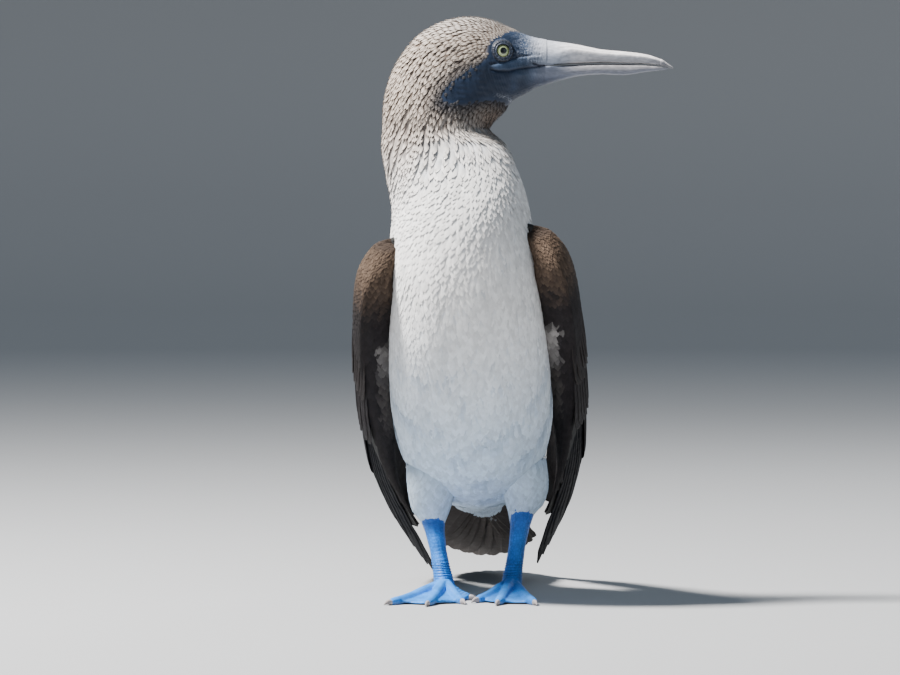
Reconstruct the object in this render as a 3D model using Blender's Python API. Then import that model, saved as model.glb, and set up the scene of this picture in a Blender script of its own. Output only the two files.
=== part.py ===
"""A blue-footed booby, life size, standing with its head turned to its left.

The bird faces -Y, its left side is +X and the floor is z = 0. All sizes are in metres.
"""

import math
from collections import namedtuple

import bmesh
import bpy
import numpy as np
from mathutils import Matrix, Vector

# Driving sizes of an adult male
TAIL_LENGTH = 0.200
MIDDLE_TOE = 0.066

# Clearances
GAP = 0.0003
SOLVER = "MANIFOLD"
SAME_POINT = 0.000001

# Posture. Heights are measured from a level just above the floor
FLOOR = -0.006
LEAN = math.radians(2.2)
LEAN_HEIGHT = 0.060
HEAD_TURN = 90.0
HEAD_Y = -0.018

# How finely the round forms are cut into faces
BODY_SIDES = 24
BODY_STEPS = 2
SOFT_FULLNESS = 2.15

FINISHES = {
    "white_plumage": ((0.83, 0.82, 0.80, 1.0), 0.85),
    "streaked_plumage": ((0.55, 0.47, 0.40, 1.0), 0.85),
    "brown_plumage": ((0.11, 0.075, 0.055, 1.0), 0.75),
    "bill": ((0.30, 0.35, 0.42, 1.0), 0.40),
    "blue_skin": ((0.10, 0.33, 0.72, 1.0), 0.50),
    "claw": ((0.50, 0.47, 0.43, 1.0), 0.45),
    "eye": ((0.62, 0.66, 0.25, 1.0), 0.10),
}

# One cross-section of the body: its middle, how far the belly side droops below straight ahead,
# which way the bird's front faces there, and its half sizes from back to belly and across.
Section = namedtuple("Section", "x y z droop turn depth width")


def leaning(z):
    """How far the leaning body's middle is to the bird's right at a height."""
    return -(z - LEAN_HEIGHT) * math.tan(LEAN)


def trunk(y, z, droop, depth, width):
    return Section(leaning(z), y, z, droop, 0.0, depth, width)


TRUNK = [
    trunk(0.1500, 0.0620, 65, 0.0120, 0.0200),
    trunk(0.1200, 0.0760, 63, 0.0280, 0.0350),
    trunk(0.0850, 0.0950, 58, 0.0450, 0.0475),
    trunk(0.0500, 0.1180, 53, 0.0560, 0.0530),
    trunk(0.0200, 0.1460, 47, 0.0590, 0.0535),
    trunk(-0.0040, 0.1780, 34, 0.0570, 0.0520),
    trunk(-0.0180, 0.2080, 20, 0.0525, 0.0500),
    trunk(-0.0250, 0.2350, 9, 0.0475, 0.0475),
]
NECK = [
    Section(-0.0075, -0.0255, 0.2520, 4, 0, 0.0430, 0.0440),
    Section(-0.0090, -0.0245, 0.2660, 2, HEAD_TURN, 0.0435, 0.0390),
    Section(-0.0138, -0.0225, 0.2830, 1, HEAD_TURN, 0.0425, 0.0350),
    Section(-0.0180, -0.0205, 0.2950, 0, HEAD_TURN, 0.0398, 0.0315),
]
HEAD = [
    Section(-0.0242, HEAD_Y, 0.3053, 0.0, HEAD_TURN, 0.0342, 0.0290),
    Section(-0.0246, HEAD_Y, 0.3120, 9.6, HEAD_TURN, 0.0350, 0.0285),
    Section(-0.0230, HEAD_Y, 0.3206, 20.9, HEAD_TURN, 0.0361, 0.0275),
    Section(-0.0184, HEAD_Y, 0.3307, 32.3, HEAD_TURN, 0.0373, 0.0260),
    Section(-0.0104, HEAD_Y, 0.3403, 44.0, HEAD_TURN, 0.0377, 0.0245),
    Section(-0.0010, HEAD_Y, 0.3469, 53.4, HEAD_TURN, 0.0360, 0.0235),
    Section(0.0088, HEAD_Y, 0.3510, 62.8, HEAD_TURN, 0.0322, 0.0220),
    Section(0.0190, HEAD_Y, 0.3520, 72.0, HEAD_TURN, 0.0273, 0.0195),
    Section(0.0289, HEAD_Y, 0.3508, 77.9, HEAD_TURN, 0.0222, 0.0165),
    Section(0.0395, HEAD_Y, 0.3505, 81.9, HEAD_TURN, 0.0168, 0.0140),
    Section(0.0480, HEAD_Y, 0.3502, 90.0, HEAD_TURN, 0.0146, 0.0120),
]
BODY = TRUNK + NECK + HEAD
NECK_BASE = len(TRUNK)
HEAD_BASE = len(TRUNK) + len(NECK)
BILL_BASE = len(BODY) - 1

# The bill, from its base to its tip: x, height of the top edge, height of the mouth line,
# height of the lower edge, half width
BILL = [
    (0.0480, 0.3646, 0.3478, 0.3357, 0.0120),
    (0.0665, 0.3619, 0.3487, 0.3406, 0.0096),
    (0.0829, 0.3586, 0.3494, 0.3422, 0.0080),
    (0.0994, 0.3570, 0.3492, 0.3418, 0.0064),
    (0.1125, 0.3553, 0.3487, 0.3438, 0.0050),
    (0.1210, 0.3527, 0.3479, 0.3448, 0.0036),
    (0.1262, 0.3500, 0.3470, 0.3455, 0.0020),
]
BILL_SIDES = 12
# How full a mandible's section is on its mouth side, on its round side and across
BILL_FULLNESS = (0.30, 0.80, 0.85)
LOWER_BILL_WIDTH = 0.95
# The tip of the upper bill: x, top, bottom, half width
BILL_TIP = (0.1306, 0.3472, 0.3462, 0.0006)
MOUTH_GAP = 0.0005
# The line of the mouth behind the bill: x and height
MOUTH_LINE = [(0.0600, 0.3478), (0.0480, 0.3478), (0.0420, 0.3470), (0.0300, 0.3459), (0.0200, 0.3446)]
MOUTH_LINE_WIDTH = 0.0010
MOUTH_LINE_DEPTH = 0.0012
PAST_CHEEK = 0.030

# Eyes
EYE_X = 0.0183
EYE_Z = 0.3568
EYE_RADIUS = 0.0066
EYE_SIDE = 0.0142
LID_OUTER = 0.0064
LID_THICK = 0.0016
LID_RISE = 0.0046
LID_AHEAD = 0.28
LID_UP = 0.12

# The folded wing, from the wrist back to the tip: distance along it, its lower and upper edges
# in side view (y, z, y, z) and how far out it stands
WING = np.array(
    [
        (-0.008, -0.041, 0.235, -0.036, 0.239, 0.053),
        (0.000, -0.046, 0.228, -0.026, 0.240, 0.060),
        (0.020, -0.048, 0.208, 0.000, 0.233, 0.070),
        (0.050, -0.034, 0.183, 0.034, 0.213, 0.075),
        (0.100, 0.000, 0.150, 0.070, 0.174, 0.077),
        (0.160, 0.048, 0.112, 0.114, 0.134, 0.077),
        (0.230, 0.110, 0.074, 0.168, 0.095, 0.074),
        (0.300, 0.178, 0.042, 0.218, 0.062, 0.066),
        (0.350, 0.226, 0.0195, 0.254, 0.0375, 0.055),
        (0.400, 0.278, -0.002, 0.294, 0.015, 0.042),
    ]
)
WING_GRID = 0.060
WING_CORE = [-0.008, -0.003, 0.006, 0.020, 0.045, 0.080, 0.120, 0.160, 0.200, 0.240, 0.265]
WING_RAISE = {"left": 0.004, "right": -0.001}
WING_SPAN = 0.400
# How far the wing's outer face turns in towards its lower edge at the arm and at the tip, where
# along the wing that changes, and how far up the face it starts
LOWER_TURN_IN = (0.007, 0.015)
LOWER_TURN_CHANGE = (0.15, 0.32)
LOWER_TURN_START = 0.45
# The same for its upper edge, with the part of it that is lost towards the tip
UPPER_TURN_IN = 0.034
UPPER_TURN_START = 0.35
UPPER_TURN_LOSS = 0.6
# Across the wing, from the lower edge to the upper: where, and how thick the arm is there
ARM_ACROSS = [
    (0.00, 0.008),
    (0.10, 0.021),
    (0.28, 0.026),
    (0.50, 0.022),
    (0.72, 0.014),
    (0.90, 0.007),
    (1.00, 0.002),
]
ARM_LEAST = 0.001
# The arm sinks below the feathers from a place along the wing on: the place, and the slope
ARM_SINK = (0.10, 0.03)
# Along the wing: what part of that thickness is left
ARM_ALONG = [
    (-0.008, 0.20),
    (0.000, 0.60),
    (0.030, 0.95),
    (0.080, 1.00),
    (0.150, 0.85),
    (0.200, 0.60),
    (0.270, 0.25),
]

# Feathers of the wing, one line for each row: how many, then for the first and the last of them
# where the root and the tip are (along, across), the half width, and the lift at root and at tip
FeatherRow = namedtuple("FeatherRow", "count first last half_width lifts")
PRIMARIES = FeatherRow(
    8, (0.170, 0.17, 0.395, 0.28), (0.160, 0.44, 0.256, 0.80), 0.0105, (-0.0060, -0.0052)
)
SECONDARIES = FeatherRow(
    7, (0.140, 0.36, 0.240, 0.50), (0.085, 0.88, 0.172, 0.97), 0.0105, (-0.0015, 0.0002)
)
GREATER_COVERTS = FeatherRow(
    7, (0.128, 0.10, 0.180, 0.12), (0.076, 0.84, 0.122, 0.93), 0.0110, (-0.0012, 0.0020)
)
MEDIAN_COVERTS = FeatherRow(
    7, (0.080, 0.10, 0.122, 0.10), (0.036, 0.82, 0.076, 0.93), 0.0110, (-0.0012, 0.0022)
)
PRIMARY_RISE = 0.00048
FEATHER_THICK = 0.0008
FEATHER_TILT = 0.0012
# A feather keeps clear of shared grid lines this near its root and its tip
ROOT_CLEAR = 0.006
TIP_CLEAR = 0.016
TIP_ROUNDING = 0.010
TIP_CROWDING = 1.25
# Along a feather: what part of its half width it has
FEATHER_OUTLINE = [(0.0, 0.7), (0.25, 0.9), (0.6, 1.0), (0.86, 0.90), (0.95, 0.75), (1.0, 0.25)]

# Tail
TAIL_FEATHERS = 12
TAIL_ROOT = (0.158, 0.058)
TAIL_SLOPE = math.radians(-15.5)
TAIL_SPREAD = math.radians(2.1)
TAIL_HALF_WIDTH = 0.0095
TAIL_OUTER_LENGTH = 0.118
TAIL_STEP = 0.00075
TAIL_ROOT_STEP = 0.0016
TAIL_GRID = 0.045
TAIL_SHORTENING = 1.3
# One middle feather lies just over the other
MIDDLE_OFFSET = 0.1
TAIL_CORE = [
    trunk(0.2050, 0.0430, 70, 0.0022, 0.0150),
    trunk(0.1850, 0.0490, 69, 0.0050, 0.0190),
    trunk(0.1650, 0.0560, 67, 0.0090, 0.0205),
    trunk(0.1500, 0.0620, 65, 0.0120, 0.0200),
]

# Legs. Each leg's middle at the toes, the bottom of the shank, the heel, and the thigh upwards
Leg = namedtuple("Leg", "foot shank heel thigh toes")
Ring = namedtuple("Ring", "x y z half_x half_y")
FOOT_TOP = FLOOR + 0.0150
LEGS = {
    "right": Leg(
        foot=(-0.0205, 0.0400),
        shank=(-0.0215, 0.0410, FOOT_TOP),
        heel=(-0.0290, 0.0520, 0.0480),
        thigh=[
            Ring(-0.0290, 0.0520, 0.0480, 0.0100, 0.0110),
            Ring(-0.0298, 0.0520, 0.0530, 0.0128, 0.0150),
            Ring(-0.0295, 0.0505, 0.0630, 0.0155, 0.0200),
            Ring(-0.0285, 0.0490, 0.0760, 0.0178, 0.0245),
            Ring(-0.0270, 0.0500, 0.0900, 0.0190, 0.0240),
            Ring(-0.0230, 0.0520, 0.1050, 0.0150, 0.0150),
        ],
        toes=(-31, -8, 16, 70),
    ),
    "left": Leg(
        foot=(0.0240, 0.0500),
        shank=(0.0245, 0.0510, FOOT_TOP),
        heel=(0.0310, 0.0600, 0.0520),
        thigh=[
            Ring(0.0310, 0.0600, 0.0520, 0.0100, 0.0110),
            Ring(0.0325, 0.0595, 0.0570, 0.0128, 0.0150),
            Ring(0.0325, 0.0575, 0.0670, 0.0158, 0.0200),
            Ring(0.0300, 0.0555, 0.0790, 0.0180, 0.0245),
            Ring(0.0270, 0.0560, 0.0920, 0.0190, 0.0240),
            Ring(0.0220, 0.0570, 0.1070, 0.0150, 0.0150),
        ],
        toes=(14, -7, -28, -80),
    ),
}
SHANK = [(0.0, 0.0066), (0.15, 0.0060), (0.45, 0.0056), (0.75, 0.0066), (1.0, 0.0086)]

# Toes, from the outer one to the hind one: length to the claw
TOE_LENGTHS = (0.066, MIDDLE_TOE, 0.047, 0.018)
TOE_LIFTS = (-0.0005, 0.0008, 0.0002, -0.0012)
# Along a toe: height of its middle above the floor and its half thickness
TOE_LINE = [
    (0.00, 0.0095, 0.0052),
    (0.20, 0.0085, 0.0042),
    (0.42, 0.0064, 0.0038),
    (0.60, 0.0042, 0.0034),
    (0.78, 0.0026, 0.0033),
    (0.92, 0.0020, 0.0030),
    (1.00, 0.0018, 0.0022),
]
# Each web is a little different, so that no two faces of neighbouring webs coincide
WEB_THICK = (0.0018, 0.0019, 0.0017)
WEB_PAST_TOE = (0.0008, 0.0011, 0.0007)
WEB_REACH = (0.94, 0.80)
WEB_SAG = 0.0008
WEB_LOWEST = 0.7
WEB_STEPS_OUT = (0.10, 0.35, 0.60, 0.82, 1.0)
WEB_STEPS_ACROSS = (0.0, 0.25, 0.5, 0.75, 1.0)
TOE_SIDES = 8
# The ball of the foot: heights above the floor, and half sizes across and along
FOOT_BALL = [(-0.002, 0.0040, 0.0046), (0.003, 0.0060, 0.0066), (0.010, 0.0070, 0.0078)]
SHANK_SIDES = 12
THIGH_SIDES = 16
SHANK_DEEPER = 1.25
CLAW_LENGTHS = (0.0080, 0.0095, 0.0080, 0.0060)
CLAW_NARROWER = 0.8
# Along a claw: part of its length, size against the toe's end, and how far it has dropped
CLAW_LINE = [(0.0, 0.80, 0.0), (0.35, 0.76, -0.0003), (0.7, 0.50, 0.0002), (1.0, 0.15, 0.0012)]
FLOOR_BLOCK = 0.2


def clear_scene():
    for obj in list(bpy.data.objects):
        bpy.data.objects.remove(obj, do_unlink=True)


def finish_material(name):
    """The named Principled material, made when it is first asked for."""
    found = bpy.data.materials.get(name)
    if found:
        return found
    colour, roughness = FINISHES[name]
    material = bpy.data.materials.new(name)
    material.use_nodes = True
    shader = material.node_tree.nodes["Principled BSDF"]
    shader.inputs["Base Color"].default_value = colour
    shader.inputs["Roughness"].default_value = roughness
    return material


def face_out(form):
    """Points all the faces of a closed bmesh out of it."""
    bmesh.ops.recalc_face_normals(form, faces=form.faces)
    if form.calc_volume(signed=True) < 0:
        bmesh.ops.reverse_faces(form, faces=form.faces)


def add_object(name, form, finish, collection):
    """A mesh object made from a bmesh, with its faces pointing out."""
    face_out(form)
    mesh = bpy.data.meshes.new(name)
    form.to_mesh(mesh)
    form.free()
    mesh.shade_smooth()
    mesh.set_sharp_from_angle(angle=math.radians(50))
    mesh.materials.append(finish_material(finish))
    obj = bpy.data.objects.new(name, mesh)
    collection.objects.link(obj)
    return obj


def spline(rows, t):
    """Catmull-Rom curve through the rows, where t counts rows."""
    last = len(rows) - 1
    i = min(max(int(math.floor(t)), 0), last - 1)
    f = t - i
    before = rows[i - 1] if i > 0 else 2 * rows[0] - rows[1]
    after = rows[i + 2] if i + 2 <= last else 2 * rows[last] - rows[last - 1]
    a, b = rows[i], rows[i + 1]
    return 0.5 * (
        2 * a
        + (b - before) * f
        + (2 * before - 5 * a + 4 * b - after) * f**2
        + (3 * a - before - 3 * b + after) * f**3
    )


def loft(rings, alike_from=None):
    """A closed bmesh through rings of points, with a flat cap at each end.

    Quads are split into triangles. From side number alike_from on, they are split the other way,
    so that the two faces of a thin vane are split alike.
    """
    form = bmesh.new()
    rows = [[form.verts.new(p) for p in ring] for ring in rings]
    sides = len(rings[0])
    for near, far in zip(rows, rows[1:]):
        for k in range(sides):
            n = (k + 1) % sides
            if alike_from is None:
                form.faces.new((near[k], near[n], far[n], far[k]))
            elif k < alike_from:
                form.faces.new((near[k], near[n], far[n]))
                form.faces.new((near[k], far[n], far[k]))
            else:
                form.faces.new((near[k], near[n], far[k]))
                form.faces.new((near[n], far[n], far[k]))
    form.faces.new(rows[0])
    form.faces.new(list(reversed(rows[-1])))
    return form


def section_ring(section, sides, grow=0.0, slide=0.0):
    """Points round one body section. grow makes it larger, slide moves it along the body."""
    turn = math.radians(section.turn)
    droop = math.radians(section.droop)
    ahead = Vector((math.sin(turn), -math.cos(turn), 0.0))
    across = Vector((math.cos(turn), math.sin(turn), 0.0))
    belly = ahead * math.cos(droop) - Vector((0, 0, 1)) * math.sin(droop)
    along = across.cross(belly) * -1
    middle = Vector((section.x, section.y, section.z)) + along * slide
    points = []
    for k in range(sides):
        angle = 2 * math.pi * k / sides - turn
        c, s = math.cos(angle), math.sin(angle)
        power = 2 / SOFT_FULLNESS
        deep = math.copysign(abs(c) ** power, c) * (section.depth + grow)
        wide = math.copysign(abs(s) ** power, s) * (section.width + grow)
        points.append(middle + belly * deep + across * wide)
    return points


def body_rings(first, last, sides=BODY_SIDES, steps=BODY_STEPS, grow=0.0):
    """Rings of the body between two of its sections, ending half a gap inside each."""
    rows = [np.array(section) for section in BODY]
    count = int(round((last - first) * steps))
    rings = []
    for i in range(count + 1):
        section = Section(*spline(rows, first + i / steps))
        slide = {0: GAP / 2, count: -GAP / 2}.get(i, 0.0)
        rings.append(section_ring(section, sides, grow, slide))
    return rings


def join_pieces(name, pieces, finish, collection):
    """One closed body from overlapping pieces, which are removed."""
    base, others = pieces[0], pieces[1:]
    group = bpy.data.collections.new(name + "_pieces")
    bpy.context.scene.collection.children.link(group)
    for piece in others:
        group.objects.link(piece)
    union = base.modifiers.new("union", "BOOLEAN")
    union.operation = "UNION"
    union.operand_type = "COLLECTION"
    union.collection = group
    union.solver = SOLVER
    joined = applied(base)
    for piece in pieces:
        bpy.data.objects.remove(piece, do_unlink=True)
    bpy.data.collections.remove(group)
    return add_object(name, largest_body(joined), finish, collection)


def applied(obj):
    """The object's mesh with its modifiers, in world space, as a bmesh."""
    bpy.context.view_layer.update()
    graph = bpy.context.evaluated_depsgraph_get()
    mesh = bpy.data.meshes.new_from_object(obj.evaluated_get(graph))
    form = bmesh.new()
    form.from_mesh(mesh)
    form.transform(obj.matrix_world)
    bpy.data.meshes.remove(mesh)
    return form


def largest_body(form):
    """Keeps the largest closed surface of a bmesh."""
    unseen = set(form.verts)
    islands = []
    while unseen:
        island = [unseen.pop()]
        for vert in island:
            for edge in vert.link_edges:
                other = edge.other_vert(vert)
                if other in unseen:
                    unseen.remove(other)
                    island.append(other)
        islands.append(island)
    islands.sort(key=len)
    for island in islands[:-1]:
        bmesh.ops.delete(form, geom=island, context="VERTS")
    bmesh.ops.remove_doubles(form, verts=form.verts, dist=SAME_POINT)
    return form


def cut(obj, cutters):
    """Takes the cutters' shapes out of an object, and applies the cuts."""
    for cutter in cutters:
        cutter.hide_render = True
        cutter.display_type = "WIRE"
        difference = obj.modifiers.new("cut", "BOOLEAN")
        difference.operation = "DIFFERENCE"
        difference.object = cutter
        difference.solver = SOLVER
    form = largest_body(applied(obj))
    face_out(form)
    obj.modifiers.clear()
    form.to_mesh(obj.data)
    form.free()
    obj.matrix_world = Matrix.Identity(4)
    return obj


def ball(name, radius, place, finish, collection, segments=14, rings=9):
    form = bmesh.new()
    bmesh.ops.create_uvsphere(form, u_segments=segments, v_segments=rings, radius=radius)
    bmesh.ops.translate(form, vec=place, verts=form.verts)
    return add_object(name, form, finish, collection)


def make_trunk_and_neck(parts):
    add_object("torso", loft(body_rings(0, NECK_BASE)), "white_plumage", parts)
    add_object("neck", loft(body_rings(NECK_BASE, HEAD_BASE)), "streaked_plumage", parts)


def eye_place(side):
    return Vector((EYE_X, HEAD_Y + side * EYE_SIDE, EYE_Z))


def lid_ring(side, helpers):
    """The raised ring of bare skin round an eye."""
    out = Vector((LID_AHEAD, side, LID_UP)).normalized()
    bpy.ops.mesh.primitive_torus_add(
        major_radius=LID_OUTER - LID_THICK / 2,
        minor_radius=LID_THICK,
        major_segments=18,
        minor_segments=5,
        location=eye_place(side) + out * LID_RISE,
        rotation=out.to_track_quat("Z", "Y").to_euler(),
    )
    ring = bpy.context.active_object
    for collection in list(ring.users_collection):
        collection.objects.unlink(ring)
    helpers.objects.link(ring)
    return ring


def mouth_slab(helpers):
    """A thin curved slab through the whole head where the mouth line runs."""
    rings = []
    for x, z in MOUTH_LINE:
        half = MOUTH_LINE_WIDTH / 2
        low, high = z - half, z + half
        near, far = HEAD_Y - PAST_CHEEK, HEAD_Y + PAST_CHEEK
        corners = ((near, low), (near, high), (far, high), (far, low))
        rings.append([Vector((x, y, height)) for y, height in corners])
    return add_object("mouth_slab", loft(rings), "bill", helpers)


def make_head(parts, helpers):
    """Head with its eye sockets, lids and the line of the mouth."""
    skull = add_object("skull", loft(body_rings(HEAD_BASE, BILL_BASE)), "streaked_plumage", helpers)
    cut(skull, [mouth_slab(helpers)])
    inside = loft(body_rings(HEAD_BASE + 2, BILL_BASE, grow=-MOUTH_LINE_DEPTH))
    bmesh.ops.translate(inside, vec=(-GAP, 0, 0), verts=inside.verts)
    filling = add_object("skull_filling", inside, "streaked_plumage", helpers)
    head = join_pieces(
        "head",
        [skull, filling, lid_ring(1, helpers), lid_ring(-1, helpers)],
        "streaked_plumage",
        parts,
    )
    sockets = [
        ball("socket", EYE_RADIUS + GAP, eye_place(side), "eye", helpers) for side in (1, -1)
    ]
    cut(head, sockets)
    for side, name in ((1, "eye_left"), (-1, "eye_right")):
        ball(name, EYE_RADIUS, eye_place(side), "eye", parts)


def bill_ring(x, top, bottom, half_width, flat_side):
    """One section of a mandible: nearly flat on its mouth side, round on the other."""
    middle, depth = (top + bottom) / 2, (top - bottom) / 2
    flat, round_side, across = BILL_FULLNESS
    points = []
    for k in range(BILL_SIDES):
        angle = 2 * math.pi * (k + 0.5) / BILL_SIDES
        c, s = math.cos(angle), math.sin(angle)
        power = flat if c * flat_side > 0 else round_side
        y = HEAD_Y + half_width * math.copysign(abs(s) ** across, s)
        points.append(Vector((x, y, middle + depth * math.copysign(abs(c) ** power, c))))
    return points


def make_bill(parts):
    upper, lower = [], []
    for i, (x, top, mouth, bottom, half_width) in enumerate(BILL):
        start = GAP / 2 if i == 0 else 0.0
        upper.append(bill_ring(x + start, top, mouth + MOUTH_GAP / 2, half_width, -1))
        narrower = half_width * LOWER_BILL_WIDTH
        lower.append(bill_ring(x + start, mouth - MOUTH_GAP / 2, bottom, narrower, 1))
    upper.append(bill_ring(*BILL_TIP, -1))
    add_object("bill_upper", loft(upper), "bill", parts)
    add_object("bill_lower", loft(lower), "bill", parts)


def mix(a, b, f):
    return a + (b - a) * f


def graph(points, x):
    """Height of a line graph at x."""
    return float(np.interp(x, [p[0] for p in points], [p[1] for p in points]))


def wing_point(along, across):
    """A point of the left wing's outer face, before the bird leans."""
    place = np.interp(along, WING[:, 0], np.arange(len(WING)))
    _, low_y, low_z, up_y, up_z, out = spline(WING, place)
    below = max(0.0, LOWER_TURN_START - across) / LOWER_TURN_START
    above = max(0.0, across - UPPER_TURN_START) / (1 - UPPER_TURN_START)
    lower = float(np.interp(along, LOWER_TURN_CHANGE, LOWER_TURN_IN))
    upper = UPPER_TURN_IN * (1 - UPPER_TURN_LOSS * along / WING_SPAN)
    turn_in = lower * below**2 + upper * above**2
    return Vector((out - turn_in, mix(low_y, up_y, across), mix(low_z, up_z, across)))


def wing_frame(along, across):
    """Point of the outer face, the direction across it, and the way out of it."""
    step = 0.002
    point = wing_point(along, across)
    down_wing = wing_point(along + step, across) - wing_point(along - step, across)
    up_wing = wing_point(along, across + 0.02) - wing_point(along, across - 0.02)
    out = up_wing.cross(down_wing).normalized()
    return point, up_wing.normalized(), out if out.x > 0 else -out


def wing_core():
    """The arm inside the wing: a closed form that thins out under the flight feathers."""
    rings = []
    for along in WING_CORE:
        thick = graph(ARM_ALONG, along)
        outer, inner = [], []
        for across, depth in ARM_ACROSS:
            point, _, out = wing_frame(along, across)
            sink = ARM_SINK[1] * max(0.0, along - ARM_SINK[0])
            outer.append(point - out * sink)
            inner.append(point - out * sink - Vector((depth * thick + ARM_LEAST, 0, 0)))
        rings.append(outer + inner[::-1])
    return loft(rings)


def feather_strip(stations):
    """A vane: a thin closed strip. Each station is its left and right edge, and the way out."""
    rings = []
    for left, right, out in stations:
        under = out * FEATHER_THICK
        rings.append([left, right, right - under, left - under])
    return loft(rings, alike_from=2)


def feather_stations(start, end, grid):
    """Places along a feather: shared grid lines, then the rounding of its tip."""
    inner = [g * grid for g in range(int(start / grid) + 1, int(end / grid) + 1)]
    inner = [g for g in inner if start + ROOT_CLEAR < g < end - TIP_CLEAR]
    return [start] + inner + [end - TIP_ROUNDING, end]


def wing_feather(root, tip, half_width, lifts, rise=0.0):
    """One vane lying on the wing between two places (along, across)."""
    stations = []
    for along in feather_stations(root[0], tip[0], WING_GRID):
        f = (along - root[0]) / (tip[0] - root[0])
        point, side, out = wing_frame(along, mix(root[1], tip[1], f))
        wide = half_width * graph(FEATHER_OUTLINE, f)
        lift = mix(lifts[0], lifts[1], f) + rise
        tilt = FEATHER_TILT * wide / half_width
        left = point - side * wide + out * (lift + tilt)
        right = point + side * wide + out * (lift - tilt)
        stations.append((left, right, out))
    return feather_strip(stations)


def feather_row(row, rise_step=0.0):
    """All the vanes of a row, from the wing's lower edge upwards."""
    forms = []
    for i in range(row.count):
        f = i / (row.count - 1)
        root = (mix(row.first[0], row.last[0], f), mix(row.first[1], row.last[1], f))
        tip_along = mix(row.first[2], row.last[2], f**TIP_CROWDING)
        tip = (tip_along, mix(row.first[3], row.last[3], f))
        forms.append(wing_feather(root, tip, row.half_width, row.lifts, rise_step * i))
    return forms


def lean_matrix():
    """Tips the upright bird over to its right."""
    pivot = Matrix.Translation((0, 0, LEAN_HEIGHT))
    return pivot @ Matrix.Rotation(-LEAN, 4, "Y") @ pivot.inverted()


def make_wing(name, side, parts, helpers):
    forms = [wing_core()]
    forms += feather_row(PRIMARIES, PRIMARY_RISE)
    forms += feather_row(SECONDARIES)
    forms += feather_row(GREATER_COVERTS)
    forms += feather_row(MEDIAN_COVERTS)
    raised = Matrix.Translation((0, 0, WING_RAISE[name]))
    place = lean_matrix() @ raised @ Matrix.Diagonal((side, 1, 1, 1))
    pieces = []
    for form in forms:
        form.transform(place)
        pieces.append(add_object("wing_piece", form, "brown_plumage", helpers))
    wing = join_pieces("wing_" + name, pieces, "brown_plumage", parts)
    body = add_object("body_cutter", loft(body_rings(0, HEAD_BASE, grow=GAP)), "eye", helpers)
    return cut(wing, [body])


def tail_feather(index):
    """One vane of the tail. The middle ones are the longest and lie on top."""
    from_middle = index - (TAIL_FEATHERS - 1) / 2
    outermost = (TAIL_FEATHERS - 1) / 2
    f = abs(from_middle) / outermost
    length = mix(TAIL_LENGTH, TAIL_OUTER_LENGTH, f**TAIL_SHORTENING)
    yaw = from_middle * TAIL_SPREAD
    ahead = Vector((math.sin(yaw), math.cos(yaw) * math.cos(TAIL_SLOPE), math.sin(TAIL_SLOPE)))
    side = Vector((math.cos(yaw), -math.sin(yaw), 0))
    out = side.cross(ahead).normalized()
    root = Vector((from_middle * TAIL_ROOT_STEP, TAIL_ROOT[0], TAIL_ROOT[1]))
    root -= out * (TAIL_STEP * abs(from_middle + MIDDLE_OFFSET))
    stations = []
    for along in feather_stations(0.0, length, TAIL_GRID):
        wide = TAIL_HALF_WIDTH * graph(FEATHER_OUTLINE, along / length)
        middle = root + ahead * along
        stations.append((middle - side * wide, middle + side * wide, out))
    return feather_strip(stations)


def make_tail(parts, helpers):
    rows = [np.array(section) for section in TAIL_CORE]
    last = len(rows) - 1
    rings = []
    for t in np.linspace(0, last, 3 * last + 1):
        slide = -GAP / 2 if t == last else 0.0
        rings.append(section_ring(Section(*spline(rows, t)), BODY_SIDES, slide=slide))
    forms = [loft(rings)] + [tail_feather(i) for i in range(TAIL_FEATHERS)]
    pieces = [add_object("tail_piece", form, "brown_plumage", helpers) for form in forms]
    join_pieces("tail", pieces, "brown_plumage", parts)


def tube(rings, sides):
    """A closed form through level elliptical rings."""
    rows = []
    for ring in rings:
        row = []
        for k in range(sides):
            angle = 2 * math.pi * k / sides
            x = ring.x + ring.half_x * math.cos(angle)
            y = ring.y + ring.half_y * math.sin(angle)
            row.append(Vector((x, y, ring.z)))
        rows.append(row)
    return loft(rows)


def make_leg(name, leg, parts, helpers):
    """The bare shank, and the feathered thigh above it."""
    low, high = Vector(leg.shank), Vector(leg.heel)
    rings = []
    for f, radius in SHANK:
        middle = low.lerp(high, f)
        rings.append(Ring(middle.x, middle.y, middle.z, radius, radius * SHANK_DEEPER))
    rings[0] = rings[0]._replace(z=low.z + GAP)
    add_object("shank_" + name, tube(rings, SHANK_SIDES), "blue_skin", parts)
    thigh_rings = list(leg.thigh)
    thigh_rings[0] = thigh_rings[0]._replace(z=thigh_rings[0].z + GAP)
    thigh = add_object("thigh_" + name, tube(thigh_rings, THIGH_SIDES), "white_plumage", parts)
    body = add_object("body_cutter", loft(body_rings(0, NECK_BASE, grow=GAP)), "eye", helpers)
    cut(thigh, [body])


def toe_point(leg, toe, along):
    """Middle of a toe at a part of its length, and its half thickness there."""
    angle = math.radians(leg.toes[toe])
    reach = TOE_LENGTHS[toe] * along
    height = graph([(p[0], p[1]) for p in TOE_LINE], along) + TOE_LIFTS[toe] * (1 - along)
    height += FLOOR
    thick = graph([(p[0], p[2]) for p in TOE_LINE], along)
    x = leg.foot[0] + reach * math.sin(angle)
    y = leg.foot[1] - reach * math.cos(angle)
    return Vector((x, y, height)), thick


def toe_form(leg, toe):
    angle = math.radians(leg.toes[toe])
    side = Vector((math.cos(angle), math.sin(angle), 0))
    rings = []
    for along, _, _ in TOE_LINE:
        middle, thick = toe_point(leg, toe, along)
        ring = []
        for k in range(TOE_SIDES):
            turn = 2 * math.pi * (k + 0.5) / TOE_SIDES
            ring.append(
                middle + side * thick * math.cos(turn) + Vector((0, 0, thick * math.sin(turn)))
            )
        rings.append(ring)
    return loft(rings)


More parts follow.
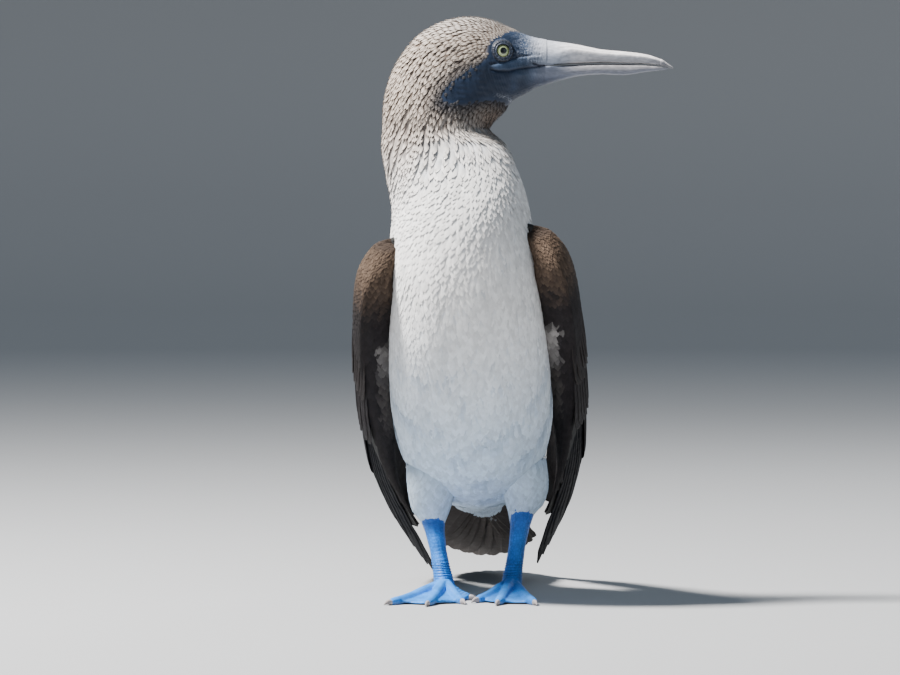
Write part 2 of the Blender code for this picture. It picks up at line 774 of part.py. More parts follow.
def web_form(leg, toe):
    """The web between a toe and the next one."""
    thick = WEB_THICK[toe]
    rings = []
    for out in WEB_STEPS_OUT:
        upper = []
        for f in WEB_STEPS_ACROSS:
            edge, middle = WEB_REACH
            reach = out * mix(edge, middle, 4 * f * (1 - f))
            a, _ = toe_point(leg, toe, reach)
            b, _ = toe_point(leg, toe + 1, reach)
            past_toe = (b - a).normalized() * WEB_PAST_TOE[toe]
            point = (a - past_toe).lerp(b + past_toe, f)
            point.z = max(point.z - WEB_SAG * 4 * f * (1 - f), FLOOR + thick * WEB_LOWEST)
            upper.append(point + Vector((0, 0, thick / 2)))
        lower = [p - Vector((0, 0, thick)) for p in reversed(upper)]
        rings.append(upper + lower)
    return loft(rings)


def make_foot(name, leg, parts, helpers):
    """Toes and webs in one body, with flats where it meets the floor."""
    x, y = leg.foot
    sx, sy, sz = leg.shank
    rings = [Ring(x, y, FLOOR + z, across, along) for z, across, along in FOOT_BALL]
    rings.append(Ring(sx, sy, sz, SHANK[0][1], SHANK[0][1] * SHANK_DEEPER))
    forms = [tube(rings, SHANK_SIDES)]
    forms += [toe_form(leg, toe) for toe in range(len(TOE_LENGTHS))]
    forms += [web_form(leg, toe) for toe in range(len(TOE_LENGTHS) - 1)]
    pieces = [add_object("foot_piece", form, "blue_skin", helpers) for form in forms]
    foot = join_pieces("foot_" + name, pieces, "blue_skin", parts)
    floor = bmesh.new()
    bmesh.ops.create_cube(floor, size=FLOOR_BLOCK)
    bmesh.ops.translate(floor, vec=(x, y, FLOOR - FLOOR_BLOCK / 2), verts=floor.verts)
    cut(foot, [add_object("floor_cutter", floor, "eye", helpers)])
    for toe in range(len(TOE_LENGTHS)):
        make_claw("claw_%s_%d" % (name, toe + 1), leg, toe, parts)


def make_claw(name, leg, toe, parts):
    """A curved claw that meets the flat end of its toe."""
    angle = math.radians(leg.toes[toe])
    ahead = Vector((math.sin(angle), -math.cos(angle), 0))
    side = Vector((math.cos(angle), math.sin(angle), 0))
    middle, thick = toe_point(leg, toe, 1.0)
    length = CLAW_LENGTHS[toe]
    rings = []
    for f, size, drop in CLAW_LINE:
        place = middle + ahead * (GAP + length * f) - Vector((0, 0, drop))
        ring = []
        for k in range(TOE_SIDES):
            turn = 2 * math.pi * (k + 0.5) / TOE_SIDES
            up = Vector((0, 0, 1)) * math.sin(turn) * thick * size
            ring.append(place + side * math.cos(turn) * thick * size * CLAW_NARROWER + up)
        rings.append(ring)
    add_object(name, loft(rings), "claw", parts)


def centre_on_floor(parts):
    """Moves everything so that the origin is in the middle of the box's underside."""
    corners = [obj.matrix_world @ vert.co for obj in parts.objects for vert in obj.data.vertices]
    low = np.min(corners, axis=0)
    high = np.max(corners, axis=0)
    middle = (low + high) / 2
    for obj in parts.objects:
        obj.data.transform(Matrix.Translation((-middle[0], -middle[1], -low[2])))


def main():
    clear_scene()
    parts = bpy.data.collections.new("blue_footed_booby")
    helpers = bpy.data.collections.new("cutters")
    bpy.context.scene.collection.children.link(parts)
    bpy.context.scene.collection.children.link(helpers)
    make_trunk_and_neck(parts)
    make_head(parts, helpers)
    make_bill(parts)
    make_tail(parts, helpers)
    make_wing("left", 1, parts, helpers)
    make_wing("right", -1, parts, helpers)
    for name, leg in LEGS.items():
        make_leg(name, leg, parts, helpers)
        make_foot(name, leg, parts, helpers)
    centre_on_floor(parts)


main()
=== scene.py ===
# %% [markdown]
# # A blue-footed booby, feather by feather
#
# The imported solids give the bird's pose and outline. This script builds what covers them: the
# bare skin of the face and feet, some twenty thousand feathers, the horny bill, the eyes and the
# claws. The bird faces -Y, its left side is +X, and all sizes are in metres.

import math

import bmesh
import bpy
import numpy as np
from mathutils import Matrix, Vector


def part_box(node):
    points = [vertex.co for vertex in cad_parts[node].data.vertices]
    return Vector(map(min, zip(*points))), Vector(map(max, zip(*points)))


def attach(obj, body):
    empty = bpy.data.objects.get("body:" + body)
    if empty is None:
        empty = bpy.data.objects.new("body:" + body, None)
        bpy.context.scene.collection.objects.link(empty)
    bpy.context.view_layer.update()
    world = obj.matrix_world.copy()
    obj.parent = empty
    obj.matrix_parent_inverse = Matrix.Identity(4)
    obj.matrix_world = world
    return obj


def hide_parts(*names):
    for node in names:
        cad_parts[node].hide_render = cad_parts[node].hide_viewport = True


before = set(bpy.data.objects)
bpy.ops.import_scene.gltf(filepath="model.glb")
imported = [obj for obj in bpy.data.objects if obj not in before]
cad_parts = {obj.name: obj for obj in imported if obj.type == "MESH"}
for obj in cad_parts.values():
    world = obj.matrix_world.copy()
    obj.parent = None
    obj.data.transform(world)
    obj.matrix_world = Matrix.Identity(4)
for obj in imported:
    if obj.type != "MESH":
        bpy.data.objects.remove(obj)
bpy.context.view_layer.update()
rng = np.random.default_rng(11)
UP = np.array((0.0, 0.0, 1.0))
HEAD_Y = -0.018
EYE = np.array((0.0183, HEAD_Y, 0.3568))
EYE_SIDE = 0.0142
FLOOR = -0.006


def node_middle(name):
    low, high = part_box(name)
    return (np.array(low) + np.array(high)) / 2


# The sizes below are in the bird's own frame. SHIFT moves them into the frame of the solids.
SHIFT = (node_middle("eye_left") + node_middle("eye_right")) / 2 - EYE

# %% [markdown]
# ## Curves and surfaces
#
# A museum model is carved over a rigid body form, and its feathers are laid on in rows from the
# tail forwards. Here a form is a grid of points, and a feather asks the grid where the surface
# is, which way runs along and across it, and which way is out.


# %%
def smooth(low, high, x):
    f = np.clip((np.asarray(x, float) - low) / (high - low), 0, 1)
    return f * f * (3 - 2 * f)


def mix(a, b, f):
    return a + (b - a) * f


def spline(rows, t):
    """Catmull-Rom curve through the rows at places t, which count rows."""
    rows, t = np.asarray(rows, float), np.asarray(t, float)
    last = len(rows) - 1
    padded = np.vstack((2 * rows[0] - rows[1], rows, 2 * rows[-1] - rows[-2]))
    i = np.clip(t.astype(int), 0, last - 1)
    f = (t - i)[..., None]
    a, b, c, d = (padded[i + k] for k in range(4))
    return 0.5 * (
        2 * b + (c - a) * f + (2 * a - 5 * b + 4 * c - d) * f**2 + (3 * b - a - 3 * c + d) * f**3
    )


def unit(v):
    return v / np.maximum(np.linalg.norm(v, axis=-1, keepdims=True), 1e-12)


class Surface:
    """A grid of points, asked by u along it and v across or round it, both from 0 to 1."""

    def __init__(self, points, closed=True, outward=None):
        self.points, self.closed = points, closed
        n, m = points.shape[:2]
        if closed:
            wide = np.concatenate((points[:, -1:], points, points[:, :1]), axis=1)
            self.across = (wide[:, 2:] - wide[:, :-2]) * m / 2
        else:
            self.across = np.gradient(points, axis=1) * (m - 1)
        self.along = np.gradient(points, axis=0) * (n - 1)
        self.out = unit(np.cross(self.along, self.across))
        away = points - points.mean(axis=1, keepdims=True) if outward is None else outward
        if (self.out * away).sum() < 0:
            self.out = -self.out

    def sample(self, field, u, v):
        n, m = self.points.shape[:2]
        x = np.clip(u, 0, 1) * (n - 1)
        i = np.minimum(x.astype(int), n - 2)
        f = (x - i)[..., None]
        if self.closed:
            y = (v % 1.0) * m
            j = y.astype(int) % m
            k = (j + 1) % m
            g = (y - np.floor(y))[..., None]
        else:
            y = np.clip(v, 0, 1) * (m - 1)
            j = np.minimum(y.astype(int), m - 2)
            k, g = j + 1, (y - j)[..., None]
        near = mix(field[i, j], field[i, k], g)
        far = mix(field[i + 1, j], field[i + 1, k], g)
        return mix(near, far, f)

    def place(self, u, v, height):
        """Points above the surface. Past its ends the surface goes straight on."""
        past = (u - np.clip(u, 0, 1))[..., None] * self.sample(self.along, u, v)
        if not self.closed:
            past = past + (v - np.clip(v, 0, 1))[..., None] * self.sample(self.across, u, v)
        out = self.sample(self.out, u, v)
        return self.sample(self.points, u, v) + past + out * np.asarray(height)[..., None]

    def rows(self, columns, spacing, jitter=0.2, wander=0.25):
        """Roots in staggered rows. spacing is a field of row distances over the grid."""
        n, m = self.points.shape[:2]
        steps = np.linalg.norm(np.diff(self.points, axis=0), axis=2)
        count = steps / ((spacing[1:] + spacing[:-1]) / 2)
        number = np.vstack((np.zeros(m), np.cumsum(count, axis=0)))
        found_u, found_v = [], []
        for k in range(columns):
            j = int(k / columns * m) if self.closed else int((k + 0.5) / columns * (m - 1))
            column = number[:, j]
            wanted = np.arange(0.5 * (k % 2), column[-1], 1.0)
            wanted = wanted + rng.normal(0, jitter, len(wanted))
            found_u.append(np.interp(wanted, column, np.linspace(0, 1, n)))
            middle = k / columns if self.closed else (k + 0.5) / columns
            found_v.append(middle + rng.normal(0, wander / columns, len(wanted)))
        return np.concatenate(found_u), np.concatenate(found_v)


# %% [markdown]
# ## Meshes from arrays
#
# Every piece goes through one function. It stores a colour for each point as the attribute
# tint, and each feather gets a small patch of its own in the map OFBake, at its root's place on
# the unwrapped form.


# %%
def build(name, points, faces, material, tint, values=None, bake=None):
    """A mesh object from arrays. values are more attributes, and bake is the OFBake map."""
    mesh = bpy.data.meshes.new(name)
    mesh.from_pydata((points + SHIFT).reshape(-1, 3), [], faces)
    colour = np.ones((len(mesh.vertices), 4), np.float32)
    colour[:, :3] = np.clip(tint.reshape(-1, 3), 0, 1)
    mesh.attributes.new("tint", "FLOAT_COLOR", "POINT").data.foreach_set("color", colour.ravel())
    for key, value in (values or {}).items():
        data = np.ascontiguousarray(value, np.float32).ravel()
        mesh.attributes.new(key, "FLOAT", "POINT").data.foreach_set("value", data)
    if bake is not None:
        corner = np.empty(len(mesh.loops), np.int32)
        mesh.loops.foreach_get("vertex_index", corner)
        layer = mesh.uv_layers.new(name="OFBake")
        layer.data.foreach_set("uv", bake.reshape(-1, 2)[corner].astype(np.float32).ravel())
    mesh.shade_smooth()
    mesh.materials.append(material)
    obj = bpy.data.objects.new(name, mesh)
    bpy.context.scene.collection.objects.link(obj)
    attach(obj, "root")
    return obj


def grid_faces(n, m, closed):
    """Quads of a grid of n by m points. A closed one joins its last column to its first."""
    i = np.arange(n - 1)[:, None]
    j = np.arange(m if closed else m - 1)[None, :]
    k = (j + 1) % m
    quads = np.stack((i * m + j, i * m + k, (i + 1) * m + k, (i + 1) * m + j), axis=-1)
    return quads.reshape(-1, 4)


def facing_out(points, quads, out):
    """The quads, turned over if their first one faces against out."""
    a, b, _, d = (points.reshape(-1, 3)[quads[len(quads) // 2][k]] for k in range(4))
    return quads if np.dot(np.cross(b - a, d - a), out) > 0 else quads[:, ::-1]


SMALL_T = np.array((0.0, 0.35, 0.62, 0.84, 1.0))
SMALL_S = np.array((-1.0, -0.5, 0.0, 0.5, 1.0))
FINE_T = np.array((0.0, 0.25, 0.5, 0.7, 0.82, 0.90, 0.96, 1.0))
FINE_S = np.array((-1.0, -0.75, -0.45, -0.15, 0.0, 0.15, 0.45, 0.75, 1.0))
ROUND_TIP = ((0.0, 0.35, 0.62, 0.84, 1.0), (0.50, 0.95, 1.0, 0.90, 0.42))
NARROW_TIP = ((0.0, 0.35, 0.62, 0.84, 1.0), (0.6, 1.0, 0.92, 0.62, 0.12))
PATCH = 0.003
STRIDES = 3
LONGEST_STRIDE = 0.03
LARGEST_PIECE = 180000


def stride(surface, u, v, ahead, aside, flow, turn):
    """Where a short walk over the surface ends: so far ahead along the feather, so far aside."""
    c, d = np.cos(turn), np.sin(turn)
    step_u = np.linalg.norm(surface.sample(surface.along, u, v), axis=-1)
    step_v = np.linalg.norm(surface.sample(surface.across, u, v), axis=-1)
    go_u = np.clip(flow * (ahead * c - aside * d) / step_u, -LONGEST_STRIDE, LONGEST_STRIDE)
    go_v = np.clip((ahead * d + aside * c) / step_v, -LONGEST_STRIDE, LONGEST_STRIDE)
    return u + go_u, v + go_v


def feather_points(surface, u, v, flow, length, half, outline, low, high, arch, turn, fine=False):
    """Points of many small feathers at once: feather, place along it, place across it."""

    def per(x):
        return np.broadcast_to(np.asarray(x, float), u.shape)[:, None, None]

    places = FINE_T if fine else SMALL_T
    t, s = np.meshgrid(places, FINE_S if fine else SMALL_S, indexing="ij")
    line = [(u, v)]
    for step in np.diff(places) / STRIDES:
        for _ in range(STRIDES):
            u, v = stride(surface, u, v, step * length, 0.0, flow, turn)
        line.append((u, v))
    uu, vv = np.array(line).transpose(1, 2, 0)[..., None]
    wide = np.interp(t, *outline)
    ragged = 1 + rng.uniform(-0.12, 0.12, (len(u),) + t.shape) * (np.abs(s) > 0.9)
    rounding = -0.10 * per(length) * s**2 * t**2
    uu, vv = stride(surface, uu, vv, rounding, s * wide * per(half) * ragged, flow, per(turn))
    height = mix(per(low), per(high), t**1.3) - per(arch) * s**2 * wide * per(half)
    return surface.place(uu, vv, height), t, s


def coat(name, material, surface, u, v, flow, length, half, outline, low, high, arch, turn, root, tip,
         change=(0.35, 0.75), margin=0.25, fine=False):
    """One or more coat pieces of small feathers, coloured from root to tip."""
    points, t, s = feather_points(surface, u, v, flow, length, half, outline, low, high, arch, turn, fine)
    f = smooth(change[0], change[1], t)[None] * (1 - margin * s**2)[None]
    light = rng.uniform(0.86, 1.10, len(u))[:, None, None, None]
    tint = mix(root[:, None, None, :], tip[:, None, None, :], f[..., None]) * light
    bake = np.empty(points.shape[:3] + (2,))
    bake[..., 0] = (v % 1.0)[:, None, None] * (1 - PATCH) + PATCH * (s + 1) / 2
    bake[..., 1] = np.clip(u, 0, 1)[:, None, None] * (1 - PATCH) + PATCH * t
    n, m = t.shape
    quads = grid_faces(n, m, False)
    quads = facing_out(points[0], quads, surface.sample(surface.out, u[:1], v[:1])[0])
    most = LARGEST_PIECE // (2 * len(quads))
    made = []
    for start in range(0, len(u), most):
        part = slice(start, start + most)
        count = len(u[part])
        faces = (quads[None] + (np.arange(count) * n * m)[:, None, None]).reshape(-1, 4)
        values = {
            "run": np.broadcast_to(t, (count, n, m)),
            "side": np.broadcast_to(s, (count, n, m)),
        }
        title = name if len(u) <= most else "%s_%d" % (name, start // most + 1)
        made.append(build(title, points[part], faces, material, tint[part], values, bake[part]))
    print(name, len(u), "feathers in", len(made), "pieces")
    return made


# %% [markdown]
# ## Materials
#
# All colours are painted on the points as tint. The shaders only add what is finer than the
# mesh: barbs on each feather, grain in the horn, small scales and folds in the skin.


# %%
class Wire:
    """A shader value that takes part in arithmetic."""

    def __init__(self, paint, socket):
        self.paint, self.socket = paint, socket

    def sum(self, operation, a, b):
        return self.paint.add("Math", {"operation": operation}, {0: a, 1: b})

    def __add__(self, other):
        return self.sum("ADD", self, other)

    def __radd__(self, other):
        return self.sum("ADD", other, self)

    def __sub__(self, other):
        return self.sum("SUBTRACT", self, other)

    def __rsub__(self, other):
        return self.sum("SUBTRACT", other, self)

    def __mul__(self, other):
        return self.sum("MULTIPLY", self, other)

    def __rmul__(self, other):
        return self.sum("MULTIPLY", other, self)

    def __pow__(self, other):
        return self.sum("POWER", self, other)


class Paint:
    """A Principled material and the one method that adds any node to it."""

    def __init__(self, name, **constants):
        self.material = bpy.data.materials.new(name)
        self.material.use_nodes = True
        self.tree = self.material.node_tree
        self.shader = self.tree.nodes["Principled BSDF"]
        self.feed(self.shader, constants)

    def feed(self, node, values):
        for key, value in values.items():
            socket = node.inputs[key.replace("_", " ") if isinstance(key, str) else key]
            if isinstance(value, Wire):
                self.tree.links.new(value.socket, socket)
            else:
                socket.default_value = value

    def add(self, kind, settings=None, values=None, output=0):
        node = self.tree.nodes.new("ShaderNode" + kind)
        for key, value in (settings or {}).items():
            setattr(node, key, value)
        self.feed(node, values or {})
        return Wire(self, node.outputs[output])

    def attribute(self, name, output=2):
        return self.add("Attribute", {"attribute_name": name}, output=output)

    def tint(self):
        return self.attribute("tint", 0)

    def place(self):
        return self.add("TexCoord", output=3)

    def stretched(self, scale):
        """Object coordinates, scaled differently along each axis."""
        return self.add("VectorMath", {"operation": "MULTIPLY"}, {0: self.place(), 1: scale})

    def noise(self, scale, detail=3.0, vector=None):
        source = self.place() if vector is None else vector
        return self.add("TexNoise", {}, {"Vector": source, "Scale": scale, "Detail": detail})

    def cells(self, scale, feature="F1", vector=None):
        source = self.place() if vector is None else vector
        return self.add("TexVoronoi", {"feature": feature}, {"Vector": source, "Scale": scale})

    def range(self, value, low, high, to_low, to_high):
        return self.add("MapRange", {}, {0: value, 1: low, 2: high, 3: to_low, 4: to_high})

    def times(self, colour, factor):
        """A colour made lighter or darker by a factor."""
        return self.add("VectorMath", {"operation": "SCALE"}, {0: colour, 3: factor})

    def blend(self, factor, a, b):
        return self.add("Mix", {"data_type": "RGBA"}, {0: factor, 6: a, 7: b}, output=2)

    def bump(self, height, strength, distance):
        values = {"Height": height, "Strength": strength, "Distance": distance}
        return self.add("Bump", {}, values)

    def finish(self, colour, roughness, normal):
        self.feed(self.shader, {"Base Color": colour, "Roughness": roughness, "Normal": normal})
        return self.material


def plumage(name, barbs, depth, rough, shaft, ior):
    """Feather vanes: barbs slanting off a shaft down the middle."""
    paint = Paint(name, IOR=ior)
    run, side = paint.attribute("run"), paint.attribute("side")
    off = paint.add("Math", {"operation": "ABSOLUTE"}, {0: side})
    wobble = paint.noise(420.0, 2.0) * 1.6
    wave = paint.add("Math", {"operation": "SINE"}, {0: (run * barbs - off * (barbs * 0.35)) * 6.283 + wobble})
    near_shaft = paint.range(off, 0.02, 0.10, 1.0, 0.0)
    mottle = paint.range(paint.noise(260.0), 0.3, 0.7, 0.90, 1.08)
    colour = paint.times(paint.tint(), mottle * (1.0 + wave * 0.05) * (1.0 - near_shaft * shaft))
    rough_wire = paint.range(paint.noise(150.0), 0.3, 0.7, rough - 0.06, rough + 0.08)
    return paint.finish(colour, rough_wire, paint.bump(wave + near_shaft * 1.5, 0.25, depth))


def bare_skin(name):
    """Skin of the face and feet: folds, pores and, where scales is 1, small scales."""
    paint = Paint(name, IOR=1.36)
    scales = paint.attribute("scales")
    cell = paint.cells(480.0, "DISTANCE_TO_EDGE")
    seams = paint.range(cell, 0.0, 0.16, 1.0, 0.0) * scales
    pores = paint.noise(900.0, 4.0)
    patches = paint.range(paint.noise(95.0, 4.0), 0.32, 0.68, 0.80, 1.18)
    colour = paint.times(paint.tint(), patches * (1.0 - seams * 0.50) * paint.range(pores, 0.3, 0.7, 0.92, 1.07))
    specks = paint.range(paint.noise(900.0, 6.0), 0.46, 0.70, 0.0, 1.0) * paint.attribute("flecks")
    colour = paint.blend(specks * 0.80, colour, (0.36, 0.39, 0.46, 1.0))
    rough = paint.range(paint.noise(240.0), 0.3, 0.7, 0.42, 0.62)
    height = pores * 0.5 + paint.range(cell, 0.0, 0.25, 0.0, 1.0) * scales
    return paint.finish(colour, rough, paint.bump(height, 0.55, 0.00022))


def horn(name, scale, rough):
    """Horny bill sheath and claws, grained lengthwise."""
    paint = Paint(name, IOR=1.38, Coat_Roughness=0.3, Coat_Weight=0.05)
    grain = paint.noise(1.0, 5.0, paint.stretched(scale))
    scuffs = paint.range(paint.noise(230.0, 4.0), 0.52, 0.72, 0.0, 1.0)
    colour = paint.times(paint.tint(), paint.range(grain, 0.3, 0.7, 0.80, 1.16))
    colour = paint.times(colour, 1.0 + scuffs * 0.15)
    rough_wire = paint.range(grain, 0.3, 0.7, rough - 0.06, rough + 0.12) + scuffs * 0.12
    return paint.finish(colour, rough_wire, paint.bump(grain + scuffs * 0.3, 0.35, 0.00020))


def eyeball(name):
    """Iris fibres round a black pupil, under a wet coat."""
    paint = Paint(name, IOR=1.38, Coat_Weight=1.0, Coat_Roughness=0.02)
    fibres = paint.noise(1.0, 3.0, paint.stretched((1500.0, 1500.0, 1500.0)))
    colour = paint.times(paint.tint(), paint.range(fibres, 0.3, 0.7, 0.72, 1.22))
    return paint.finish(colour, paint.range(fibres, 0.3, 0.7, 0.10, 0.18), paint.bump(fibres, 0.1, 0.0001))


BODY_PLUMAGE = plumage("body_plumage", 9.0, 0.00012, 0.78, 0.06, 1.22)
QUILL_PLUMAGE = plumage("quill_plumage", 60.0, 0.00010, 0.62, -0.35, 1.14)
SKIN = bare_skin("bare_skin")
BILL_HORN = horn("bill_horn", (260.0, 900.0, 900.0), 0.44)
CLAW_HORN = horn("claw_horn", (700.0, 700.0, 700.0), 0.40)
EYEBALL = eyeball("eyeball")
print("materials", [m.name for m in (BODY_PLUMAGE, QUILL_PLUMAGE, SKIN, BILL_HORN, CLAW_HORN, EYEBALL)])

# %% [markdown]
# ## The body form
#
# One form runs from the tail's root through trunk and neck to the base of the bill. It is a
# chain of soft oval sections. Each row gives the section's middle, how far its belly side
# droops, which way the bird faces there, and its half depth and half width.

# %%
LEAN = math.radians(2.2)
LEAN_HEIGHT = 0.060


def leaning(z):
    return -(z - LEAN_HEIGHT) * math.tan(LEAN)


TRUNK = [
    (0.2050, 0.0430, 70, 0.0022, 0.0150),
    (0.1850, 0.0490, 69, 0.0050, 0.0190),
    (0.1650, 0.0560, 67, 0.0090, 0.0205),
    (0.1500, 0.0620, 65, 0.0120, 0.0200),
    (0.1200, 0.0760, 63, 0.0280, 0.0350),
    (0.0850, 0.0950, 58, 0.0450, 0.0475),
    (0.0500, 0.1180, 53, 0.0560, 0.0530),
    (0.0200, 0.1460, 47, 0.0590, 0.0535),
    (-0.0040, 0.1780, 34, 0.0570, 0.0520),
    (-0.0180, 0.2080, 20, 0.0525, 0.0500),
    (-0.0250, 0.2350, 9, 0.0475, 0.0475),
]
NECK = [
    (-0.0075, -0.0255, 0.2520, 4, 0, 0.0430, 0.0440),
    (-0.0090, -0.0245, 0.2660, 2, 90, 0.0435, 0.0390),
    (-0.0138, -0.0225, 0.2830, 1, 90, 0.0425, 0.0350),
    (-0.0180, -0.0205, 0.2950, 0, 90, 0.0398, 0.0315),
]
HEAD = [
    (-0.0242, 0.3053, 0.0, 0.0342, 0.0290),
    (-0.0246, 0.3120, 9.6, 0.0350, 0.0285),
    (-0.0230, 0.3206, 20.9, 0.0361, 0.0275),
    (-0.0184, 0.3307, 32.3, 0.0373, 0.0260),
    (-0.0104, 0.3403, 44.0, 0.0377, 0.0245),
    (-0.0010, 0.3469, 53.4, 0.0360, 0.0235),
    (0.0088, 0.3510, 62.8, 0.0322, 0.0220),
    (0.0190, 0.3520, 72.0, 0.0273, 0.0195),
    (0.0289, 0.3508, 77.9, 0.0222, 0.0165),
    (0.0395, 0.3505, 81.9, 0.0168, 0.0140),
    (0.0480, 0.3502, 90.0, 0.0146, 0.0120),
]
BODY = np.array(
    [(leaning(z), y, z, droop, 0, deep, wide) for y, z, droop, deep, wide in TRUNK]
    + NECK
    + [(x, HEAD_Y, z, droop, 90, deep, wide) for x, z, droop, deep, wide in HEAD]
)
FULLNESS = 2.15
NECK_START = len(TRUNK)
HEAD_START = NECK_START + len(NECK)


def body_grid(stations, sides):
    """Points round the body. Column 0 faces -Y and a quarter of the columns on is +X."""
    x, y, z, droop, turn, depth, width = (c[:, None, None] for c in spline(BODY, stations).T)
    turn, droop = np.radians(turn), np.radians(droop)
    ahead = np.concatenate((np.sin(turn), -np.cos(turn), 0 * turn), axis=2)
    across = np.concatenate((np.cos(turn), np.sin(turn), 0 * turn), axis=2)
    belly = ahead * np.cos(droop) - UP * np.sin(droop)
    angle = (2 * np.pi * np.arange(sides) / sides)[None, :, None] - turn
    c, s = np.cos(angle), np.sin(angle)
    deep = np.sign(c) * np.abs(c) ** (2 / FULLNESS) * depth
    side = np.sign(s) * np.abs(s) ** (2 / FULLNESS) * width
    return np.concatenate((x, y, z), axis=2) + belly * deep + across * side


LAST = len(BODY) - 1
STATIONS = np.concatenate((np.linspace(0, HEAD_START, 220)[:-1], np.linspace(HEAD_START, LAST, 260)))
BODY_SIDES = 256


def eased(grid):
    """The grid with its sections averaged along the body where the neck grows out of the breast."""
    soft = np.zeros_like(grid)
    reach = np.arange(-26, 27)
    weights = np.exp(-0.5 * (reach / 10.0) ** 2)
    for step, weight in zip(reach, weights / weights.sum()):
        soft += weight * grid[np.clip(np.arange(len(grid)) + step, 0, len(grid) - 1)]
    share = smooth(9.0, 10.4, STATIONS) * (1 - smooth(12.8, 14.2, STATIONS))
    return mix(grid, soft, share[:, None, None])


body = Surface(eased(body_grid(STATIONS, BODY_SIDES)))


def body_facts(u, v):
    """Place in the bird's frame, station and heading in degrees of points of the body form."""
    station = np.interp(u, np.linspace(0, 1, len(STATIONS)), STATIONS)
    return body.sample(body.points, u, v), station, (v % 1.0) * 360


print("body form", body.points.shape)

# %% [markdown]
# ## Where the face is bare
#
# Boobies have naked skin round the eye, along the gape and on the throat. In side view its edge
# starts on the forehead, runs behind the eye, drops back to a point under the cheek and returns
# along the throat. The colours of skin and coat come from the same functions.

# %%
FACE_EDGE = np.array(
    [
        (0.060, 0.380), (0.0350, 0.3706), (0.0265, 0.3690), (0.0190, 0.3664), (0.0138, 0.3637),
        (0.0122, 0.3600), (0.0117, 0.3550), (0.0110, 0.3510), (0.0056, 0.3468), (-0.0020, 0.3428),
        (-0.0092, 0.3376), (-0.0158, 0.3318), (-0.0184, 0.3268), (-0.0125, 0.3246), (-0.0026, 0.3252),
        (0.0060, 0.3268), (0.0150, 0.3271), (0.0212, 0.3262), (0.0250, 0.3225), (0.0290, 0.3160), (0.060, 0.315),
    ]
)


def into_face(points):
    """How far inside the bare face's edge points are in side view. Outside it is negative."""
    p = points[..., [0, 2]][..., None, :]
    a, b = FACE_EDGE, np.roll(FACE_EDGE, -1, axis=0)
    along = b - a
    f = np.clip(((p - a) * along).sum(-1) / (along**2).sum(-1), 0, 1)
    far = np.linalg.norm(p - a - along * f[..., None], axis=-1).min(axis=-1)
    low, high = a[:, 1] <= p[..., 1], b[:, 1] <= p[..., 1]
    crossing = a[:, 0] + (p[..., 1] - a[:, 1]) * along[:, 0] / np.where(along[:, 1] == 0, 1, along[:, 1])
    inside = ((low != high) & (p[..., 0] < crossing)).sum(axis=-1) % 2 == 1
    return np.where(inside, far, -far)


WHITE_ROOT = np.array((0.70, 0.71, 0.73))
WHITE_TIP = np.array((0.85, 0.84, 0.83))
# BELLY_SHADE is painted shade: it tints the lower belly and the thighs bluish grey, as in shade.
BELLY_SHADE = np.array((0.58, 0.72, 0.87))
STREAK_ROOT = np.array((0.100, 0.074, 0.060))
STREAK_TIP = np.array((0.48, 0.415, 0.36))
THROAT_TIP = np.array((0.15, 0.110, 0.088))
MANTLE_ROOT = np.array((0.055, 0.038, 0.030))
MANTLE_TIP = np.array((0.115, 0.082, 0.062))
FACE_DARK = np.array((0.009, 0.018, 0.040))
FACE_LIGHT = np.array((0.042, 0.068, 0.120))
FACE_FEATHER = np.array((0.034, 0.036, 0.044))


def heading_near(heading, middle, half):
    """1 at a heading, falling to 0 half as many degrees away."""
    off = np.abs((heading - middle + 180) % 360 - 180)
    return 1 - smooth(0, half, off)


